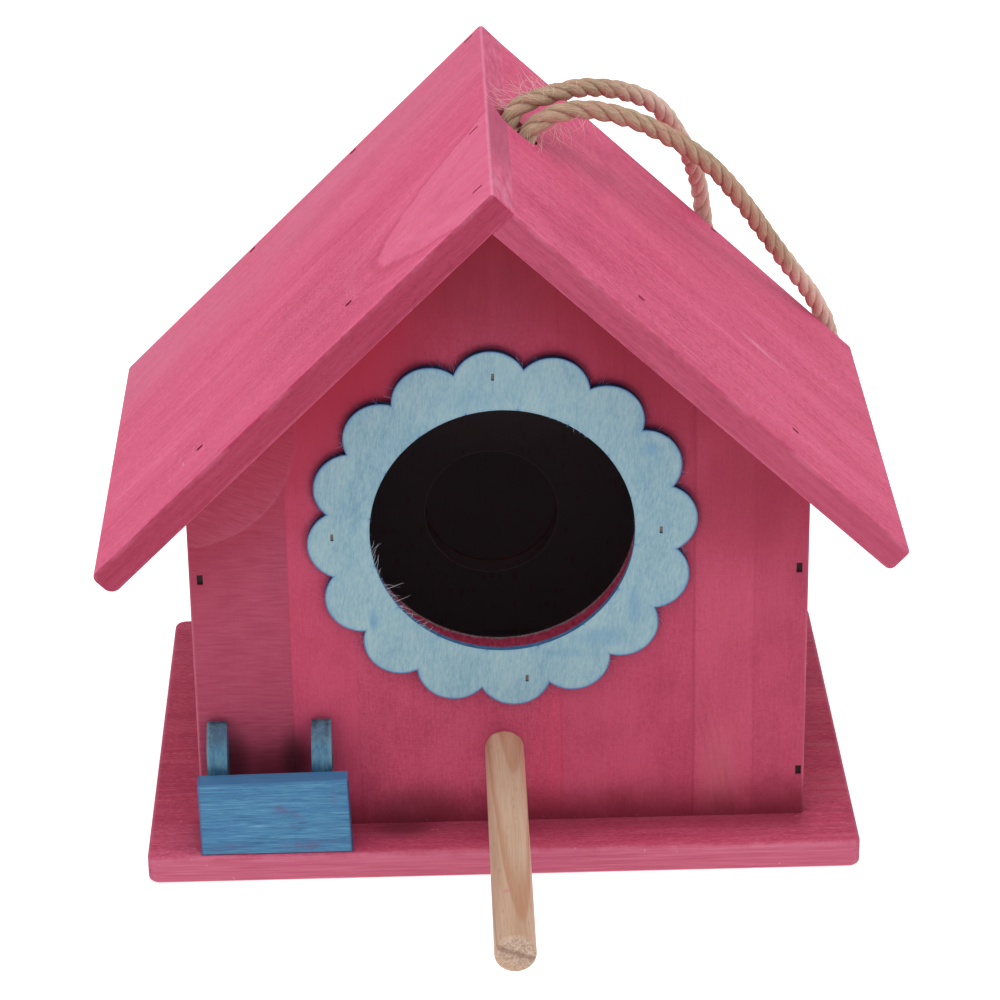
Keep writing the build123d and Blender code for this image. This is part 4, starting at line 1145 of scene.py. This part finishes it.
# rope ----------------------------------------------------------------------
def jute(name, loose=False):
    g = Mat(name, specular=0.18)
    if loose:
        tint = g.attribute("tint")
        colour = g.ramp(tint, [(0.0, C(150, 112, 92, K)), (0.35, C(196, 160, 122, K)), (0.7, C(226, 190, 166, K)),
                               (1.0, C(250, 214, 210, K))])
        speck = g.noise(g.P, (1.5, 1.5, 1.5), 2, 0.6, 131)
        colour = g.mix(g.ease(speck, 0.4, 0.7, 0.0, 0.35), colour, C(206, 160, 138, K))
        return g.finish(colour, g.ease(speck, 0.3, 0.7, 0.65, 0.85), speck, 0.00003)
    st = g.attribute("strand", "Vector")
    reach = g.attribute("reach")
    streak = g.noise(st, (4.6, 4.6, 0.75), 4, 0.66, 132)
    fine = g.noise(st, (10.0, 10.0, 1.5), 3, 0.62, 133)
    t = g.add(g.mul(streak, 0.55), g.mul(fine, 0.45))
    colour = g.ramp(t, [(0.26, C(118, 90, 72, K)), (0.42, C(166, 138, 114, K)), (0.58, C(192, 168, 142, K)),
                        (0.76, C(222, 204, 180, K))])
    # the far strand has taken on more of the stain than the near one
    line_side = g.sub(g.mul(g.x, 0.632), g.y)
    far = g.mul(g.ease(line_side, 1.0, -0.6), g.ease(g.x, 24.0, 38.0, 0.0, 1.0))
    blush = g.ease(g.noise(g.P, (0.22, 0.22, 0.22), 3, 0.6, 134), 0.44, 0.62)
    colour = g.mix(g.mul(far, 0.62), colour, C(240, 206, 194, K))
    colour = g.mix(g.mul(blush, 0.22), colour, C(214, 140, 132, K))
    # painted shade in the grooves, where the strands turn in towards the core
    under = g.ease(reach, 0.93, 0.74)
    colour = g.mix(g.mul(g.mul(under, g.sub(1.0, g.mul(far, 0.5))), 0.62), colour, C(134, 78, 72, K))
    # painted pink reflection of the roof on the faces that look down
    down = g.mul(g.ease(g.split(g.N)[2], 0.1, -0.6), 0.30)
    colour = g.mix(down, colour, C(206, 120, 116, K))
    speck = g.ease(g.noise(st, (5.0, 5.0, 2.2), 2, 0.6, 135), 0.62, 0.70)
    colour = g.mix(g.mul(speck, 0.45), colour, C(96, 66, 52, K))
    dirt = g.ease(g.noise(g.P, (1.1, 1.1, 1.1), 3, 0.65, 136), 0.62, 0.72)
    colour = g.mix(g.mul(dirt, 0.40), colour, C(104, 84, 68, K))
    return g.finish(colour, g.ease(t, 0.3, 0.7, 0.72, 0.88), g.add(g.mul(streak, 0.7), g.mul(fine, 0.7)), 0.00026)


twine = jute("jute_cord")
for piece in (rope, knot):
    piece.data.materials.append(twine)
loose = jute("jute_fibre", True)
for piece in (fuzz, tufts):
    piece.data.materials.append(loose)


# frayed wood ----------------------------------------------------------------
def frayed_ring():
    """Torn fibres left by the saw round the ring, most of them at the lower left of its bore."""
    rng = np.random.default_rng(31)
    cx, cz, r = 0.7, 73.2, 26.6
    roots, dirs, lens, rads, tint = [], [], [], [], []

    def bore(angle, y, length, lean, radius, shade, lift=0.0):
        a = math.radians(angle)
        out = np.array([math.cos(a), 0, math.sin(a)])
        along = np.array([-math.sin(a), 0, math.cos(a)])
        roots.append((np.array([cx, y, cz]) + out * (r + 0.05)) * MM)
        dirs.append(-out * 0.8 + along * lean + np.array([0, lift, 0]))
        lens.append(length * MM)
        rads.append(radius * MM)
        tint.append(shade)

    for angle, length, lean in ((187, 1.6, -0.9), (189, 2.6, -1.4), (191, 3.2, -1.1), (193, 2.4, -1.6), (195, 3.0, -1.2),
                                (197.5, 3.4, -1.0), (200, 2.0, -1.5), (205, 2.6, 0.4), (207.5, 3.0, -0.2), (209, 1.8, 0.8),
                                (212, 2.4, -0.5), (214.5, 2.8, 0.2), (217, 2.2, 0.6), (219, 1.4, -0.6), (222, 1.9, 0.3),
                                (225, 1.5, -0.2), (228, 2.2, 0.5), (230, 1.6, 0.9), (232, 2.0, -0.4), (235, 1.2, 0.2)):
        bore(angle, -43.15, length * 1.35, lean, 0.044, rng.uniform(0.65, 1.0), -0.25)
    for angle in rng.uniform(185, 240, 55):
        bore(angle, rng.uniform(-43.2, -42.2), rng.uniform(0.4, 1.3), rng.normal(0, 0.8), 0.030, rng.uniform(0.4, 0.9), -0.2)
    for angle in (50, 52, 54, 57, 60, 62, 65, 68, 70, 171, 173, 352, 4):
        bore(angle, -43.15, rng.uniform(0.35, 0.9), rng.normal(0, 0.5), 0.05, rng.uniform(0.5, 0.9), -0.1)
    for angle in rng.uniform(0, 360, 60):
        bore(angle, rng.uniform(-43.2, -42.0), rng.uniform(0.2, 0.6), rng.normal(0, 0.8), 0.028, rng.uniform(0.2, 0.7), -0.1)
    step = 360 / 16
    for k in range(16):
        a0 = 3.75 + step * (k + 0.5)              # the notch between two scallops
        for _ in range(16):
            a = math.radians(a0 + rng.normal(0, 2.8))
            fold = abs(((math.degrees(a) - 3.75 + step / 2) % step) - step / 2)
            f = math.radians(fold)
            edge = 31.6 * math.cos(f) + math.sqrt(max(7.6 ** 2 - (31.6 * math.sin(f)) ** 2, 0.0))
            out = np.array([math.cos(a), 0, math.sin(a)])
            roots.append((np.array([cx, rng.uniform(-43.2, -42.2), cz]) + out * (edge - 0.1)) * MM)
            dirs.append(out + rng.normal(0, 0.55, 3) * np.array([1, 0.25, 1]))
            lens.append(rng.uniform(0.5, 2.3) * MM)
            rads.append(rng.uniform(0.020, 0.034) * MM)
            tint.append(rng.uniform(0.05, 0.55))
    return roots, dirs, lens, rads, tint


_r = frayed_ring()
frays = hairs("ring_frayed_fibres", _r[0], _r[1], _r[2], _r[3], seed=32, curl=1.0, segments=6, tint=_r[4])
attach(frays, "house")
g = Mat("frayed_blue", specular=0.2)
speck = g.noise(g.P, (1.5, 1.5, 1.5), 2, 0.6, 141)
tone = g.ramp(g.attribute("tint"), [(0.0, C(40, 62, 110, K)), (0.3, C(84, 118, 160, K)), (0.6, C(160, 176, 196, K)),
                                    (1.0, C(226, 222, 224, K))])
frays.data.materials.append(g.finish(g.mix(g.ease(speck, 0.4, 0.7, 0.0, 0.3), tone, C(150, 120, 140, K)),
                                     g.ease(speck, 0.3, 0.7, 0.6, 0.8), speck, 0.00003))


def frayed_panel():
    """Short torn fibres round the inner rim of the panel's bore and along its ring."""
    rng = np.random.default_rng(37)
    cx, cz, r = 0.25, 73.45, 27.7
    roots, dirs, lens, rads, tint = [], [], [], [], []
    for _ in range(420):
        a = math.radians(rng.uniform(195, 375) if rng.random() < 0.8 else rng.uniform(0, 360))
        out = np.array([math.cos(a), 0, math.sin(a)])
        roots.append((np.array([cx, rng.uniform(-36.6, -35.8), cz]) + out * (r + 0.05)) * MM)
        dirs.append(-out + rng.normal(0, 0.5, 3) + np.array([0, 0.2, 0]))
        lens.append(rng.uniform(0.2, 0.75) * MM)
        rads.append(rng.uniform(0.03, 0.055) * MM)
        tint.append(rng.random())
    return roots, dirs, lens, rads, tint


_r = frayed_panel()
splinters = hairs("panel_frayed_fibres", _r[0], _r[1], _r[2], _r[3], seed=38, curl=0.7, segments=3, tint=_r[4])
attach(splinters, "house")
g = Mat("frayed_pink", specular=0.2)
speck = g.noise(g.P, (1.5, 1.5, 1.5), 2, 0.6, 143)
tone = g.ramp(g.attribute("tint"), [(0.0, C(70, 20, 34, K)), (0.6, C(122, 38, 60, K)), (1.0, C(176, 90, 108, K))])
splinters.data.materials.append(g.finish(g.mix(g.ease(speck, 0.4, 0.7, 0.0, 0.3), tone, C(60, 22, 32, K)),
                                         g.ease(speck, 0.3, 0.7, 0.6, 0.8), speck, 0.00003))


# -------------------------------------------------------------- the studio
def studio():
    world = bpy.data.worlds.new("studio")
    scene.world = world
    world.use_nodes = True
    nt = world.node_tree
    bg = nt.nodes["Background"]
    bg.inputs[0].default_value = (1.0, 1.0, 1.0, 1.0)
    where = nt.nodes.new("ShaderNodeTexCoord")
    part = nt.nodes.new("ShaderNodeSeparateXYZ")
    level = nt.nodes.new("ShaderNodeMapRange")
    nt.links.new(where.outputs["Generated"], part.inputs[0])
    nt.links.new(part.outputs[2], level.inputs[0])
    for socket, value in zip(list(level.inputs)[1:5], (0.0, 1.0, 0.38, 0.85)):
        socket.default_value = value
    nt.links.new(level.outputs[0], bg.inputs[1])

    me = bpy.data.meshes.new("floor")
    w = 6.0
    me.from_pydata([(-w, -w, 0), (w, -w, 0), (w, w, 0), (-w, w, 0)], [], [(0, 1, 2, 3)])
    floor = bpy.data.objects.new("floor", me)
    scene.collection.objects.link(floor)
    floor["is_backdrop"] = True
    m = bpy.data.materials.new("floor_paper")
    m.use_nodes = True
    nt = m.node_tree
    bsdf = nt.nodes["Principled BSDF"]
    bsdf.inputs["Base Color"].default_value = (0.82, 0.82, 0.82, 1)
    bsdf.inputs["Roughness"].default_value = 0.9
    bsdf.inputs["Specular IOR Level"].default_value = 0.1
    bsdf.inputs["Emission Color"].default_value = (1, 1, 1, 1)
    bsdf.inputs["Emission Strength"].default_value = 0.62
    me.materials.append(m)

    def area(name, place, target, size, power, colour=(1, 1, 1)):
        data = bpy.data.lights.new(name, "AREA")
        data.shape, data.size, data.size_y = "RECTANGLE", size[0], size[1]
        data.energy, data.color = power, colour
        o = bpy.data.objects.new(name, data)
        scene.collection.objects.link(o)
        o.location = place
        o.rotation_mode = "QUATERNION"
        o.rotation_quaternion = (Vector(target) - Vector(place)).to_track_quat("-Z", "Y")

    area("softbox_left", (-0.95, -0.55, 1.25), (0, 0, 0.07), (0.7, 0.7), 3.2)
    area("softbox_right", (1.00, -0.50, 1.20), (0, 0, 0.07), (0.7, 0.7), 2.8)
    area("softbox_top", (0.0, -0.35, 1.45), (0, 0, 0.07), (1.0, 1.0), 7.0)


studio()

low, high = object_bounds()
